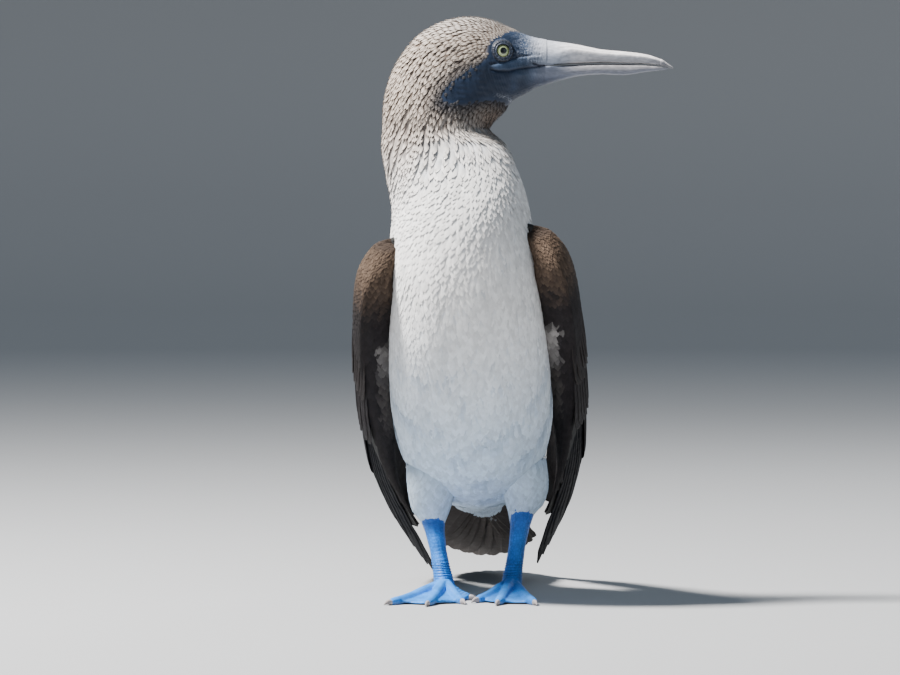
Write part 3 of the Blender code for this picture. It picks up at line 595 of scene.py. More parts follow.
def body_markings(p, station, heading):
    """Root and tip colours of the body's feathers, and how streaked and how brown they are."""
    z = p[..., 2]
    edge = 0.291 - 0.034 * heading_near(heading, 262, 130) + 0.004 * heading_near(heading, 60, 60)
    streak = smooth(-0.019, 0.034, z - edge)
    upper = smooth(0.262, 0.325, z)[..., None]
    upper_back = heading_near(heading, 180, 80) ** 0.5
    mantle = smooth(5.6, 6.4, station) * (1 - smooth(9.6, 10.3, station))
    mantle = mantle * smooth(0.25, 0.55, upper_back)
    tail_coverts = 1 - smooth(2.6, 3.6, station)
    brown = np.maximum(mantle, tail_coverts * 0.7 * heading_near(heading, 180, 110))
    # throat: brown feathers under the jaw, darkened further with painted shade.
    throat = np.exp(-(((p[..., 0] - 0.016) / 0.012) ** 2) - ((z - 0.316) / 0.009) ** 2)
    # Painted highlight: the feather tips on top of the crown are paler, as if lit from above.
    crown_highlight = smooth(0.364, 0.377, z) * 0.30
    # low_belly is the share of painted bluish shade, growing towards the bottom of the belly.
    low_belly = smooth(0.215, 0.080, z)
    streaked_tip = mix(np.array((0.66, 0.605, 0.56)), STREAK_TIP, upper)
    tip = mix(WHITE_TIP * mix(1.0, BELLY_SHADE, low_belly[..., None]), streaked_tip, streak[..., None] ** 1.4)
    tip = mix(tip, WHITE_TIP, crown_highlight[..., None])
    tip = mix(tip, THROAT_TIP, (throat * smooth(0.2, 0.6, streak))[..., None])
    # Feathers along the bare face's edge are dark, and darkened further with painted shade where they meet the skin.
    reach = mix(0.0100, 0.0160, smooth(0.012, -0.004, p[..., 0]))
    by_face = smooth(-1, 0.05, into_face(p) / reach) * smooth(0.358, 0.350, z) * smooth(5.0, 6.5, station - NECK_START)
    tip = mix(tip, FACE_FEATHER, (0.97 * by_face)[..., None])
    tip = mix(tip, MANTLE_TIP, brown[..., None])
    root = mix(WHITE_ROOT * mix(1.0, BELLY_SHADE, low_belly[..., None]), STREAK_ROOT, mix(0.70, 1.0, upper) * smooth(0.25, 0.95, streak)[..., None])
    root = mix(root, FACE_FEATHER * 0.6, by_face[..., None])
    root = mix(root, MANTLE_ROOT, brown[..., None])
    return root, tip, streak, brown


print("face edge", len(FACE_EDGE), "points")

# %% [markdown]
# ## Skin
#
# The skin is one piece. Under feathers it lies a coat's depth inside the outline; on the face it
# comes up to it, with the line of the gape pressed in and folds round it. The legs are joined
# from the solids, melted together and given scutes, wrinkles and scales.

# %%
COAT_DEPTH = 0.0016
MOUTH = np.array([(0.0600, 0.3478), (0.0480, 0.3478), (0.0430, 0.3481), (0.0395, 0.3493)])
LIP_LOW = np.array([(0.0440, 0.3473), (0.0370, 0.3466), (0.0300, 0.3458), (0.0235, 0.3443), (0.0170, 0.3444), (0.0125, 0.3452)])
LIP_TOP = np.array([(0.0120, 0.3484), (0.0170, 0.3495), (0.0225, 0.3508), (0.0296, 0.3534), (0.0375, 0.3543)])
JAW_RIDGE = np.array([(0.0220, 0.3400), (0.0300, 0.3420), (0.0400, 0.3428), (0.0520, 0.3430)])


def line_distance(points, line):
    """Distance in side view from a line."""
    p = points[..., [0, 2]][..., None, :]
    a, along = line[:-1], line[1:] - line[:-1]
    f = np.clip(((p - a) * along).sum(-1) / (along**2).sum(-1), 0, 1)
    return np.linalg.norm(p - a - along * f[..., None], axis=-1).min(axis=-1)


def ripple(points, scale, seed):
    """Soft noise from a few sine waves in random directions."""
    maker = np.random.default_rng(seed)
    total = np.zeros(points.shape[:-1])
    for _ in range(7):
        way = maker.normal(size=3) * scale
        total += np.sin(points @ way + maker.uniform(0, 6.3))
    return total / 3.5


skin_u = np.linspace(0, 1, 460)
uu, vv = np.meshgrid(skin_u, np.arange(224) / 224, indexing="ij")
p, station, heading = body_facts(uu, vv)
def ruff(p, heading):
    """How far the coat stands off where it is fluffed out on the neck's right side."""
    z = p[..., 2]
    return 0.0024 * smooth(0.252, 0.282, z) * smooth(0.325, 0.300, z) * heading_near(heading, 272, 75)


def bill_base_tint(p):
    """The colour where skin turns to horn: pale above the mouth, darker down to the jaw's edge."""
    z = p[..., 2:]
    above = mix(np.array((0.180, 0.205, 0.260)), np.array((0.380, 0.400, 0.455)), smooth(0.352, 0.361, z))
    below = mix(np.array((0.040, 0.052, 0.085)), np.array((0.135, 0.155, 0.210)), smooth(0.3365, 0.3435, z))
    return mix(below, above, smooth(0.3474, 0.3482, z))


inside = into_face(p)
on_head = smooth(HEAD_START + 1, HEAD_START + 2, station)
bare = smooth(-0.0012, 0.0012, inside) * on_head
root, tip, streak, brown = body_markings(p, station, heading)
mouth, lip_low, lip_top, jaw = (line_distance(p, line) for line in (MOUTH, LIP_LOW, LIP_TOP, JAW_RIDGE))
x, z = p[..., 0], p[..., 2]
low_line = np.interp(x, LIP_LOW[::-1, 0], LIP_LOW[::-1, 1])
top_line = np.interp(x, LIP_TOP[:, 0], LIP_TOP[:, 1])
in_lip = smooth(0, 0.0008, z - low_line) * smooth(0, 0.0007, top_line - z)
in_lip *= smooth(0.0105, 0.0150, x) * smooth(0.047, 0.038, x)


def line(distance, wide):
    return np.exp(-((distance / wide) ** 2))


height = -COAT_DEPTH * np.minimum(1 - bare, smooth(-0.001, -0.009, inside) + (1 - on_head)) + ruff(p, heading)
height -= bare * (0.0011 * line(mouth, 0.0006) + 0.0008 * line(lip_low, 0.0006) + 0.0005 * line(lip_top, 0.0006))
height += bare * (0.0006 * in_lip + 0.0004 * line(jaw, 0.0022))
height += bare * (0.00013 * ripple(p, 900, 3) + 0.00009 * ripple(p, 2300, 4)) * smooth(0.048, 0.044, x)
# Paler ahead of the eye towards the bill and along the jaw ridge. The lip fold is paler too, with a painted highlight
# along its top edge.
light = smooth(0.026, 0.042, x) * smooth(0.3475, 0.3530, z)
light = np.maximum(light, 0.85 * smooth(0.022, 0.036, x) * line(z - np.interp(x, *JAW_RIDGE.T), 0.0042))
light = np.maximum(light, in_lip * mix(0.55, 1.0, smooth(0.0040, 0.0, top_line - z)))
face = mix(FACE_DARK, FACE_LIGHT, light[..., None]) * (1 + 0.20 * ripple(p, 420, 5)[..., None])
face = mix(face, bill_base_tint(p), smooth(0.033, 0.0475, x)[..., None])
# Painted shade: the gape's line and the lip's edges are darkened where the skin is pressed in.
lines = line(mouth, 0.0007) + 0.8 * line(lip_low, 0.0006) + 0.55 * line(lip_top, 0.0006)
face = mix(face, np.array((0.012, 0.016, 0.032)), (0.9 * np.clip(lines, 0, 1))[..., None])
under = mix(mix(root, tip, 0.45), FACE_DARK * 1.2, smooth(-0.006, -0.001, inside)[..., None] * on_head[..., None])
skin_tint = mix(under, face, bare[..., None])
flecks = 0.8 * bare * smooth(0.022, 0.040, x) * smooth(0.349, 0.354, z)
flecks = np.maximum(flecks, bare * line(inside - 0.0012, 0.0014) * smooth(0.012, 0.018, x) * smooth(0.332, 0.328, z))
body_skin = body.place(uu, vv, height)
body_faces = facing_out(body_skin, grid_faces(*uu.shape, True), body.out[len(STATIONS) // 2, BODY_SIDES // 2])


def lid_ring(side):
    """The blue ring of skin round an eye, as rings of points about the eye's axis."""
    axis = unit(np.array((0.28, side, 0.12)))
    first = unit(np.cross(axis, UP))
    second = np.cross(axis, first)
    centre = EYE + np.array((0, side * EYE_SIDE, 0))
    profile = np.array(
        [
            (0.0040, 0.0052), (0.0042, 0.0058), (0.0045, 0.0062), (0.0050, 0.0061), (0.0054, 0.0057),
            (0.0058, 0.0059), (0.0063, 0.0059), (0.0069, 0.0054), (0.0074, 0.0046), (0.0080, 0.0035),
            (0.0088, 0.0020),
        ]
    )
    profile = spline(profile, np.linspace(0, len(profile) - 1, 41))
    angle = 2 * np.pi * np.arange(120) / 120
    round_eye = first * np.cos(angle)[:, None] + second * np.sin(angle)[:, None]
    radius = profile[:, 0, None]
    wrinkle = 0.00010 * np.sin(angle * 23 + 2 * np.sin(angle * 5))
    rise = profile[:, 1, None] + wrinkle * smooth(0.0042, 0.0055, radius)
    points = centre + round_eye * radius[..., None] + axis * rise[..., None]
    band = (smooth(0.0045, 0.0050, radius) * smooth(0.0066, 0.0061, radius))[..., None]
    colour = mix(np.array((0.006, 0.009, 0.018)), np.array((0.030, 0.042, 0.070)), band)
    colour = mix(colour, FACE_DARK, smooth(0.0072, 0.0078, radius)[..., None])
    colour = colour * (1 + 0.22 * np.sin(angle * 9 + 2 * np.sin(angle * 4)))[:, None]
    return points, colour, facing_out(points, grid_faces(41, 120, True), axis)


LEG_NAMES = ("left", "right")


def melted_leg(name):
    """Thigh, shank and foot of the solids joined, remeshed finely and smoothed."""
    form = bmesh.new()
    for node in ("thigh_", "shank_", "foot_"):
        form.from_mesh(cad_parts[node + name].data)
    mesh = bpy.data.meshes.new("leg_form")
    form.to_mesh(mesh)
    form.free()
    obj = bpy.data.objects.new("leg_form", mesh)
    bpy.context.scene.collection.objects.link(obj)
    grown = obj.modifiers.new("join", "REMESH")
    grown.mode = "VOXEL"
    grown.voxel_size = 0.0006
    relax = obj.modifiers.new("relax", "SMOOTH")
    relax.factor = 0.5
    relax.iterations = 5
    bpy.context.view_layer.update()
    done = bpy.data.meshes.new_from_object(obj.evaluated_get(bpy.context.evaluated_depsgraph_get()))
    bpy.data.objects.remove(obj)
    points = np.empty(len(done.vertices) * 3)
    normals = np.empty(len(done.vertices) * 3)
    done.vertices.foreach_get("co", points)
    done.vertices.foreach_get("normal", normals)
    faces = np.empty(len(done.loops), np.int64)
    done.loops.foreach_get("vertex_index", faces)
    return points.reshape(-1, 3) - SHIFT, normals.reshape(-1, 3), faces.reshape(-1, 4)


FEET = {
    "right": ((-0.0205, 0.0400), (-0.0215, 0.0410, 0.0090), (-0.0290, 0.0520, 0.0480), (-31, -8, 16, 70)),
    "left": ((0.0240, 0.0500), (0.0245, 0.0510, 0.0090), (0.0310, 0.0600, 0.0520), (14, -7, -28, -80)),
}
TOE_LENGTHS = (0.066, 0.066, 0.047, 0.018)


def leg_skin(name):
    """The leg's points with scutes on the toes, wrinkles at the ankle and scales on the shank."""
    points, normals, faces = melted_leg(name)
    (fx, fy), low, high, angles = FEET[name]
    low, high = np.array(low), np.array(high)
    height, scutes, on_toe = np.zeros(len(points)), np.zeros(len(points)), np.zeros(len(points))
    flat = points[:, :2] - (fx, fy)
    upward = smooth(0.1, 0.7, normals[:, 2])
    for angle, length in zip(np.radians(angles), TOE_LENGTHS):
        way = np.array((math.sin(angle), -math.cos(angle)))
        run = flat @ way
        off = np.abs(flat @ np.array((-way[1], way[0])))
        mask = (1 - smooth(0.0022, 0.0042, off)) * smooth(0.004, 0.009, run) * (1 - smooth(length, length + 0.004, run))
        better = mask > on_toe
        saw = (run / 0.0021 + 1.2 * (off / 0.004) ** 2) % 1.0
        scutes = np.where(better, smooth(0.0, 0.25, saw) * (1 - smooth(0.75, 1.0, saw)), scutes)
        on_toe = np.maximum(on_toe, mask)
    z, over = points[:, 2], points[:, 2] - FLOOR
    low_part = 1 - smooth(0.015, 0.019, over)
    height += upward * low_part * on_toe * 0.00035 * scutes
    height += upward * low_part * (1 - on_toe) * 0.00016 * ripple(points, 1400, 7)
    ankle = smooth(0.012, 0.016, over) * (1 - smooth(0.022, 0.028, over))
    folds = np.sin(z / 0.0017 * 6.283 + 1.6 * ripple(points, 260, 8))
    height += ankle * 0.00034 * folds
    shank = smooth(0.020, 0.024, over) * (1 - smooth(high[2] - 0.002, high[2] + 0.004, z))
    around = np.arctan2(points[:, 1] - mix(low[1], high[1], (z - low[2]) / (high[2] - low[2])),
                        points[:, 0] - mix(low[0], high[0], (z - low[2]) / (high[2] - low[2])))
    front = heading_near(np.degrees(around), -90, 60)
    plates = ((z + 0.0006 * np.cos(around * 3)) / 0.0024) % 1.0
    height += shank * front * 0.00022 * smooth(0, 0.2, plates) * (1 - smooth(0.8, 1.0, plates))
    thigh = smooth(high[2] + 0.001, high[2] + 0.006, z)
    height -= thigh * COAT_DEPTH
    blue = np.array((0.018, 0.190, 0.640)) * (1 + 0.10 * ripple(points, 300, 9)[:, None])
    web = (1 - on_toe) * low_part
    # Painted light: faces of the feet that look upward get a paler blue.
    blue = mix(blue, np.array((0.030, 0.225, 0.640)), (0.5 * low_part * upward)[:, None])
    # Painted shade: darker between the toes' scutes and in the valleys of the ankle's folds.
    crevice_shade = 1 - 0.45 * on_toe * low_part * (1 - scutes) - 0.30 * ankle * (0.5 - 0.5 * folds)
    # Painted shade: the legs darken towards their tops, under the belly.
    deep = smooth(0.028, 0.050, z)
    blue = mix(blue, np.array((0.008, 0.075, 0.380)), (0.6 * deep)[:, None]) * crevice_shade[:, None]
    under = smooth(0.2, -0.4, normals[:, 2]) * low_part
    blue = mix(blue, np.array((0.10, 0.20, 0.36)), (0.6 * under)[:, None])
    tint = mix(blue, WHITE_ROOT, thigh[:, None])
    scales = np.clip(shank * (1 - 0.6 * front) + 0.35 * web + 0.5 * ankle, 0, 1) * (1 - thigh)
    settled = points + normals * height[:, None]
    settled[:, 2] = np.maximum(settled[:, 2], FLOOR)
    return settled, tint, faces, scales


nothing = np.zeros(body_skin[..., 0].size)
chunks = [(body_skin.reshape(-1, 3), skin_tint.reshape(-1, 3), body_faces, nothing, flecks.ravel())]
for side in (1, -1):
    ring, colour, faces = lid_ring(side)
    bumps = np.full(ring[..., 0].size, 0.15)
    chunks.append((ring.reshape(-1, 3), colour.reshape(-1, 3), faces, bumps, bumps))
for name in LEG_NAMES:
    points, tint, faces, scales = leg_skin(name)
    chunks.append((points, tint, faces, scales, 0 * scales))
starts = np.cumsum([0] + [len(chunk[0]) for chunk in chunks[:-1]])
skin = build(
    "skin",
    np.concatenate([chunk[0] for chunk in chunks]),
    np.concatenate([chunk[2] + start for chunk, start in zip(chunks, starts)]),
    SKIN,
    np.concatenate([chunk[1] for chunk in chunks]),
    {key: np.concatenate([chunk[k] for chunk in chunks]) for key, k in (("scales", 3), ("flecks", 4))},
)
flesh = ["torso", "neck", "head"] + [part + side for part in ("thigh_", "shank_", "foot_") for side in LEG_NAMES]
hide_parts(*flesh)
print("skin", len(skin.data.polygons), "faces, legs from", [len(c[0]) for c in chunks[3:]], "points")

# %% [markdown]
# ## Body feathers
#
# Rows run from the bill to the tail, each overlapping the next like tiles. They are narrow and
# pointed on head and neck, where pale tips stand over dark roots, and small and round on the
# breast. The head is turned, so the lie of the neck's feathers slants. The brown back carries
# larger feathers with white tips.

# %%
COLUMNS = 132
GAPS = ((0, 3, 7, 9, 11, 15), (0.0070, 0.0060, 0.0048, 0.0042, 0.0038, 0.0038))
SLANTS = ((0, 60, 100, 180, 240, 300), (-22, 8, 14, 0, -14, -36))
STREAK_COLUMNS = 100
STREAK_GAPS = ((9, 13, 19, 22, 25), (0.0044, 0.0046, 0.0042, 0.0032, 0.0020))
STREAK_STEPS = 112


def lie(p, heading):
    """How far the feathers slant round the neck, in radians."""
    slant = np.radians(np.interp(heading, *SLANTS, period=360)) * smooth(0.200, 0.262, p[:, 2])
    return slant * (1 - smooth(0.305, 0.350, p[:, 2]))


def close_to_face(p, station):
    return smooth(-0.012, 0.0, into_face(p)) * smooth(HEAD_START, HEAD_START + 2, station)


def evened(u, v):
    """Lines of roots with crowded ones left out and new ones started in wide gaps."""
    order = np.argsort(v % 1)
    u, v = u[order], v[order] % 1
    kept = [0]
    for k in range(1, len(v)):
        if (v[k] - v[kept[-1]]) * STREAK_COLUMNS > 0.58:
            kept.append(k)
    u, v = u[kept], v[kept]
    room = np.append(v[1:], v[0] + 1) - v
    wide = room * STREAK_COLUMNS > 1.25
    return np.append(u, (0.5 * (u + np.roll(u, -1)))[wide]), np.append(v, (v + 0.5 * room)[wide] % 1)


def streak_roots():
    """Roots along lines that run from the bill back over the head and down the neck."""
    v = (np.arange(STREAK_COLUMNS) + rng.normal(0, 0.12, STREAK_COLUMNS)) / STREAK_COLUMNS
    u = 1 - 0.01 * rng.random(STREAK_COLUMNS)
    found = []
    for _ in range(STREAK_STEPS):
        u, v = evened(u, v)
        p, station, heading = body_facts(u, v)
        turn = lie(p, heading)
        wave = (0.42 * ripple(p, 290, 12) + 0.20 * ripple(p, 640, 13)) / STREAK_COLUMNS
        found.append(np.array((u, v + wave, turn)))
        gap = np.interp(station, *STREAK_GAPS) * (1 - 0.4 * close_to_face(p, station))
        u, v = stride(body, u, v, gap * rng.uniform(0.85, 1.15, len(u)), 0.0, -1, turn)
    return np.concatenate(found, axis=1)


def lay(name, u, v, turn, columns, gaps, streaked):
    """One coat: streaked lances on head and neck, or round white feathers everywhere else."""
    p, station, heading = body_facts(u, v)
    root, tip, streak, brown = body_markings(p, station, heading)
    inside = into_face(p)
    ragged = np.where(p[:, 0] < 0.004, 0.0018, 0.0007)
    keep = (inside < rng.normal(0.0004, 1, len(u)) * ragged) | (station < HEAD_START + 1)
    keep &= ((streak > rng.uniform(0.12, 0.42, len(u))) == streaked) & (brown < 0.6)
    u, v, p, station, heading, inside, turn = (x[keep] for x in (u, v, p, station, heading, inside, turn))
    root, tip, streak = root[keep], tip[keep], streak[keep]
    by_face = close_to_face(p, station)
    gap = np.interp(station, *gaps) * (1 - 0.4 * by_face)
    girth = np.linalg.norm(body.sample(body.across, u, v), axis=-1)
    half = np.clip(girth / columns * mix(0.92, 0.58, smooth(0.0, 0.8, streak)), 0.0004, 0.0040)
    belly = 1 - smooth(7.0, 10.5, station)
    shade = 1 + rng.uniform(-0.22, 0.10, (len(u), 1)) * streak[:, None]
    swell = 0.0005 * (1 - streak) * ripple(p, 170, 41) + ruff(p, heading) + rng.uniform(-0.0001, 0.0001, len(u))
    sunk = mix(mix(-0.0008, -0.0005, belly), -0.0013, streak) + 0.0010 * smooth(-0.008, -0.001, inside) * (p[:, 2] > 0.3)
    upper = smooth(0.225, 0.270, p[:, 2])
    raised = mix(mix(0.0001 + 0.0003 * upper, -0.0001, belly), 0.0006, smooth(0.2, 0.8, streak))
    coat(
        name, BODY_PLUMAGE, body, u, v, -1, gap * mix(3.2, 2.4, streak), half, NARROW_TIP if streaked else ROUND_TIP,
        sunk + swell, raised + swell, mix(mix(0.12, 0.05, belly), 0.34, streak), turn + rng.normal(0, 0.07, len(u)),
        root, tip * shade, change=(0.30, 0.66), margin=0.45 if streaked else 0.10,
    )


u, v, turn = streak_roots()
lay("coat_head", u, v, turn, STREAK_COLUMNS, STREAK_GAPS, True)
station_field = np.broadcast_to(STATIONS[:, None], body.points.shape[:2])
u, v = body.rows(COLUMNS, np.interp(station_field, *GAPS))
p, station, heading = body_facts(u, v)
lay("coat_body", u, v, lie(p, heading), COLUMNS, GAPS, False)

BACK_COLUMNS = 44
u, v = body.rows(BACK_COLUMNS, np.interp(station_field, (0, 6, 10), (0.0085, 0.0105, 0.0070)))
p, station, heading = body_facts(u, v)
root, tip, streak, brown = body_markings(p, station, heading)
keep = brown > 0.45
u, v, station, heading = u[keep], v[keep], station[keep], heading[keep]
girth = np.linalg.norm(body.sample(body.across, u, v), axis=-1)
shoulder = 1 - heading_near(heading, 180, 62)
long = np.interp(station, (0, 6, 10), (0.020, 0.026, 0.017)) * (1 + 0.55 * shoulder * smooth(5.5, 7, station))
fringe = np.where((station > 4)[:, None], (0.44, 0.40, 0.36), (0.30, 0.26, 0.23))
coat(
    "coat_back", BODY_PLUMAGE, body, u, v, -1, long, girth / BACK_COLUMNS * 0.80, ROUND_TIP, -COAT_DEPTH,
    0.0014 + 0.0022 * shoulder, 0.26, rng.normal(0, 0.08, len(u)), MANTLE_TIP * np.ones((len(u), 1)), fringe,
    change=(0.84, 0.95), margin=-0.5, fine=True,
)

# %% [markdown]
# ## Thighs
#
# Short white feathers sleeve the top of each leg and end in a loose fringe over the heel.

# %%
THIGHS = {
    "right": [
        (-0.0290, 0.0520, 0.0480, 0.0100, 0.0110), (-0.0298, 0.0520, 0.0530, 0.0128, 0.0150),
        (-0.0295, 0.0505, 0.0630, 0.0155, 0.0200), (-0.0285, 0.0490, 0.0760, 0.0178, 0.0245),
        (-0.0270, 0.0500, 0.0900, 0.0190, 0.0240), (-0.0230, 0.0520, 0.1050, 0.0150, 0.0150),
    ],
    "left": [
        (0.0310, 0.0600, 0.0520, 0.0100, 0.0110), (0.0325, 0.0595, 0.0570, 0.0128, 0.0150),
        (0.0325, 0.0575, 0.0670, 0.0158, 0.0200), (0.0300, 0.0555, 0.0790, 0.0180, 0.0245),
        (0.0270, 0.0560, 0.0920, 0.0190, 0.0240), (0.0220, 0.0570, 0.1070, 0.0150, 0.0150),
    ],
}
for name, rings in THIGHS.items():
    x, y, z, half_x, half_y = (c[:, None] for c in spline(rings, np.linspace(0, 5, 60)).T)
    angle = 2 * np.pi * np.arange(96)[None] / 96
    tube = np.stack((x + half_x * np.cos(angle), y + half_y * np.sin(angle), z + 0 * angle), axis=-1)
    thigh = Surface(tube)
    u, v = thigh.rows(56, np.full(tube.shape[:2], 0.0032))
    keep = u < 0.75
    u, v = u[keep], v[keep]
    girth = np.linalg.norm(thigh.sample(thigh.across, u, v), axis=-1)
    fringe = smooth(0.16, 0.02, u)
    long = rng.uniform(0.0095, 0.0125, len(u)) + fringe * rng.uniform(0.002, 0.006, len(u))
    # The thighs' white feathers carry the lower belly's painted bluish shade.
    coat(
        "coat_thigh_" + name, BODY_PLUMAGE, thigh, u, v, -1, long,
        np.clip(girth / 56 * mix(1.05, 0.60, fringe), 0.0008, 0.003), ROUND_TIP, -0.0005,
        rng.uniform(-0.0001, 0.0001, len(u)) + 0.0006 * fringe, 0.05, rng.normal(0, 0.12, len(u)),
        WHITE_ROOT * BELLY_SHADE * np.ones((len(u), 1)), WHITE_TIP * BELLY_SHADE * np.ones((len(u), 1)), margin=0.1,
    )

# %% [markdown]
# ## Wings
#
# The folded wing is a curved sheet from wrist to tip, thick along its lower edge where the arm
# lies. Small feathers wrap the arm. Over its outer face lie tiers of larger ones: two rows of
# coverts, then the secondaries, then the long primaries whose edges stack along the bottom.

# %%
WING = np.array(
    [
        (-0.008, -0.041, 0.235, -0.036, 0.239, 0.053), (0.000, -0.046, 0.228, -0.026, 0.240, 0.060),
        (0.020, -0.048, 0.208, 0.000, 0.233, 0.070), (0.050, -0.034, 0.183, 0.034, 0.213, 0.075),
        (0.100, 0.000, 0.150, 0.070, 0.174, 0.077), (0.160, 0.048, 0.112, 0.114, 0.134, 0.077),
        (0.230, 0.110, 0.074, 0.168, 0.095, 0.074), (0.300, 0.178, 0.042, 0.218, 0.062, 0.066),
        (0.350, 0.226, 0.0165, 0.254, 0.0345, 0.055), (0.400, 0.278, -0.010, 0.294, 0.007, 0.042),
    ]
)
ARM_ACROSS = ((0.00, 0.008), (0.10, 0.021), (0.28, 0.026), (0.50, 0.022), (0.72, 0.014), (0.90, 0.007), (1.00, 0.002))
ARM_ALONG = ((-0.008, 0.000, 0.030, 0.080, 0.150, 0.200, 0.270, 0.320), (0.20, 0.60, 0.95, 1.00, 0.85, 0.60, 0.28, 0.02))
WING_RAISE = {"left": 0.004, "right": -0.001}
SIDES = {"left": 1, "right": -1}
ALONG_FIRST, ALONG_LAST = -0.008, 0.400
ACROSS_FIRST, ACROSS_LAST = -0.10, 1.10


def wing_sheet(along, across):
    """Points of the upright left wing's outer face."""
    place = np.interp(along, WING[:, 0], np.arange(len(WING)))
    row = spline(WING, place)
    below = np.maximum(0, 0.45 - across) / 0.45
    above = np.maximum(0, across - 0.35) / 0.65
    turn_in = np.interp(along, (0.15, 0.32), (0.007, 0.015)) * below**2 + 0.034 * above**2 * (1 - 0.6 * along / 0.4)
    yz = mix(row[..., 1:3], row[..., 3:5], across[..., None])
    return np.concatenate(((row[..., 5] - turn_in)[..., None], yz), axis=-1)


def wing_place(points, name):
    """Points of the upright left wing, moved to where the named wing is on the leaning bird."""
    pivot = Matrix.Translation((0, 0, LEAN_HEIGHT))
    lean = pivot @ Matrix.Rotation(-LEAN, 4, "Y") @ pivot.inverted()
    raised = Matrix.Translation((0, 0, WING_RAISE[name]))
    whole = np.array(lean @ raised @ Matrix.Diagonal((SIDES[name], 1, 1, 1)))
    return points @ whole[:3, :3].T + whole[:3, 3]


def sheet_surface(name):
    along, across = np.meshgrid(
        np.linspace(ALONG_FIRST, ALONG_LAST, 240), np.linspace(ACROSS_FIRST, ACROSS_LAST, 80), indexing="ij"
    )
    return Surface(wing_place(wing_sheet(along, across), name), closed=False, outward=np.array((SIDES[name], 0, 0)))


ARM_ALONG_ROWS = np.concatenate((np.full(10, ALONG_FIRST), np.linspace(ALONG_FIRST, 0.320, 140)))


def arm_surface(name):
    """The thick part of the wing: outer face up to the top edge, then back down, with a round end."""
    along = ARM_ALONG_ROWS[10:]
    across = np.array([a for a, _ in ARM_ACROSS])
    deep = np.array([d for _, d in ARM_ACROSS])
    a, c = np.meshgrid(along, across, indexing="ij")
    point = wing_sheet(a, c)
    down = wing_sheet(a + 0.002, c) - wing_sheet(a - 0.002, c)
    up = wing_sheet(a, c + 0.02) - wing_sheet(a, c - 0.02)
    out = unit(np.cross(up, down))
    out = np.where(out[..., :1] > 0, out, -out)
    outer = point - out * (0.003 * np.maximum(0, a - 0.10) / 0.10)[..., None]
    thick = np.interp(a, *ARM_ALONG) * deep + 0.001
    inner = outer - thick[..., None] * np.array((1.0, 0, 0))
    ring = np.concatenate((outer, inner[:, ::-1]), axis=1).transpose(1, 0, 2)
    ring = np.concatenate((ring[-3:], ring, ring[:3]))
    t = 3 + np.arange(112) / 112 * 14
    points = spline(ring.reshape(20, -1), t).reshape(112, len(along), 3).transpose(1, 0, 2)
    centre = points[:2].mean(axis=1)
    ahead = unit(centre[0] - centre[1])
    turn = np.radians(np.linspace(8, 82, 10))[:, None, None]
    dome = centre[0] + (points[0] - centre[0]) * np.sin(turn) + ahead * 0.0045 * np.cos(turn)
    return Surface(wing_place(np.concatenate((dome, points)), name))


QUILL_T = np.concatenate((np.linspace(0, 0.8, 17), (0.85, 0.9, 0.94, 0.97, 0.99, 1.0)))
QUILL_S = np.array((-1.0, -0.8, -0.55, -0.3, -0.12, -0.05, 0.0, 0.05, 0.12, 0.3, 0.55, 0.8, 1.0))
BLADE = ((0.0, 0.25, 0.6, 0.80, 0.90, 0.96, 0.99, 1.0), (0.6, 0.92, 1.0, 0.94, 0.80, 0.56, 0.30, 0.10))
POINTED = ((0.0, 0.25, 0.6, 0.80, 0.90, 0.96, 0.99, 1.0), (0.6, 0.95, 1.0, 0.82, 0.60, 0.36, 0.20, 0.08))


def quill_points(surface, root, tip, half, lifts, outline, shaft_at):
    """One large feather: a closed vane, thickest at its raised shaft."""
    t, s = np.meshgrid(QUILL_T, QUILL_S, indexing="ij")
    wide = np.interp(t, *outline) * half
    u, v = mix(root[0], tip[0], t), mix(root[1], tip[1], t)
    off = np.where(s < 0, s * (1 + shaft_at), s * (1 - shaft_at)) + shaft_at
    splits = 1 + 0.035 * np.sin(t * rng.uniform(20, 40) + rng.uniform(0, 6)) * (np.abs(s) > 0.9)
    v = v + off * wide * splits / np.linalg.norm(surface.sample(surface.across, u, v), axis=-1)
    shaft = np.exp(-((s / 0.07) ** 2)) * (1 - 0.7 * t)
    top = mix(lifts[0], lifts[1], t) - 0.0011 * off * wide / half - 0.0006 * s**2 + 0.00045 * shaft
    thick = mix(0.00065, 0.00022, np.abs(s)) + 0.00050 * shaft
    above = surface.place(u, v, top)
    under = surface.place(u, v, top - thick)
    return np.concatenate((above, under[:, ::-1]), axis=1)


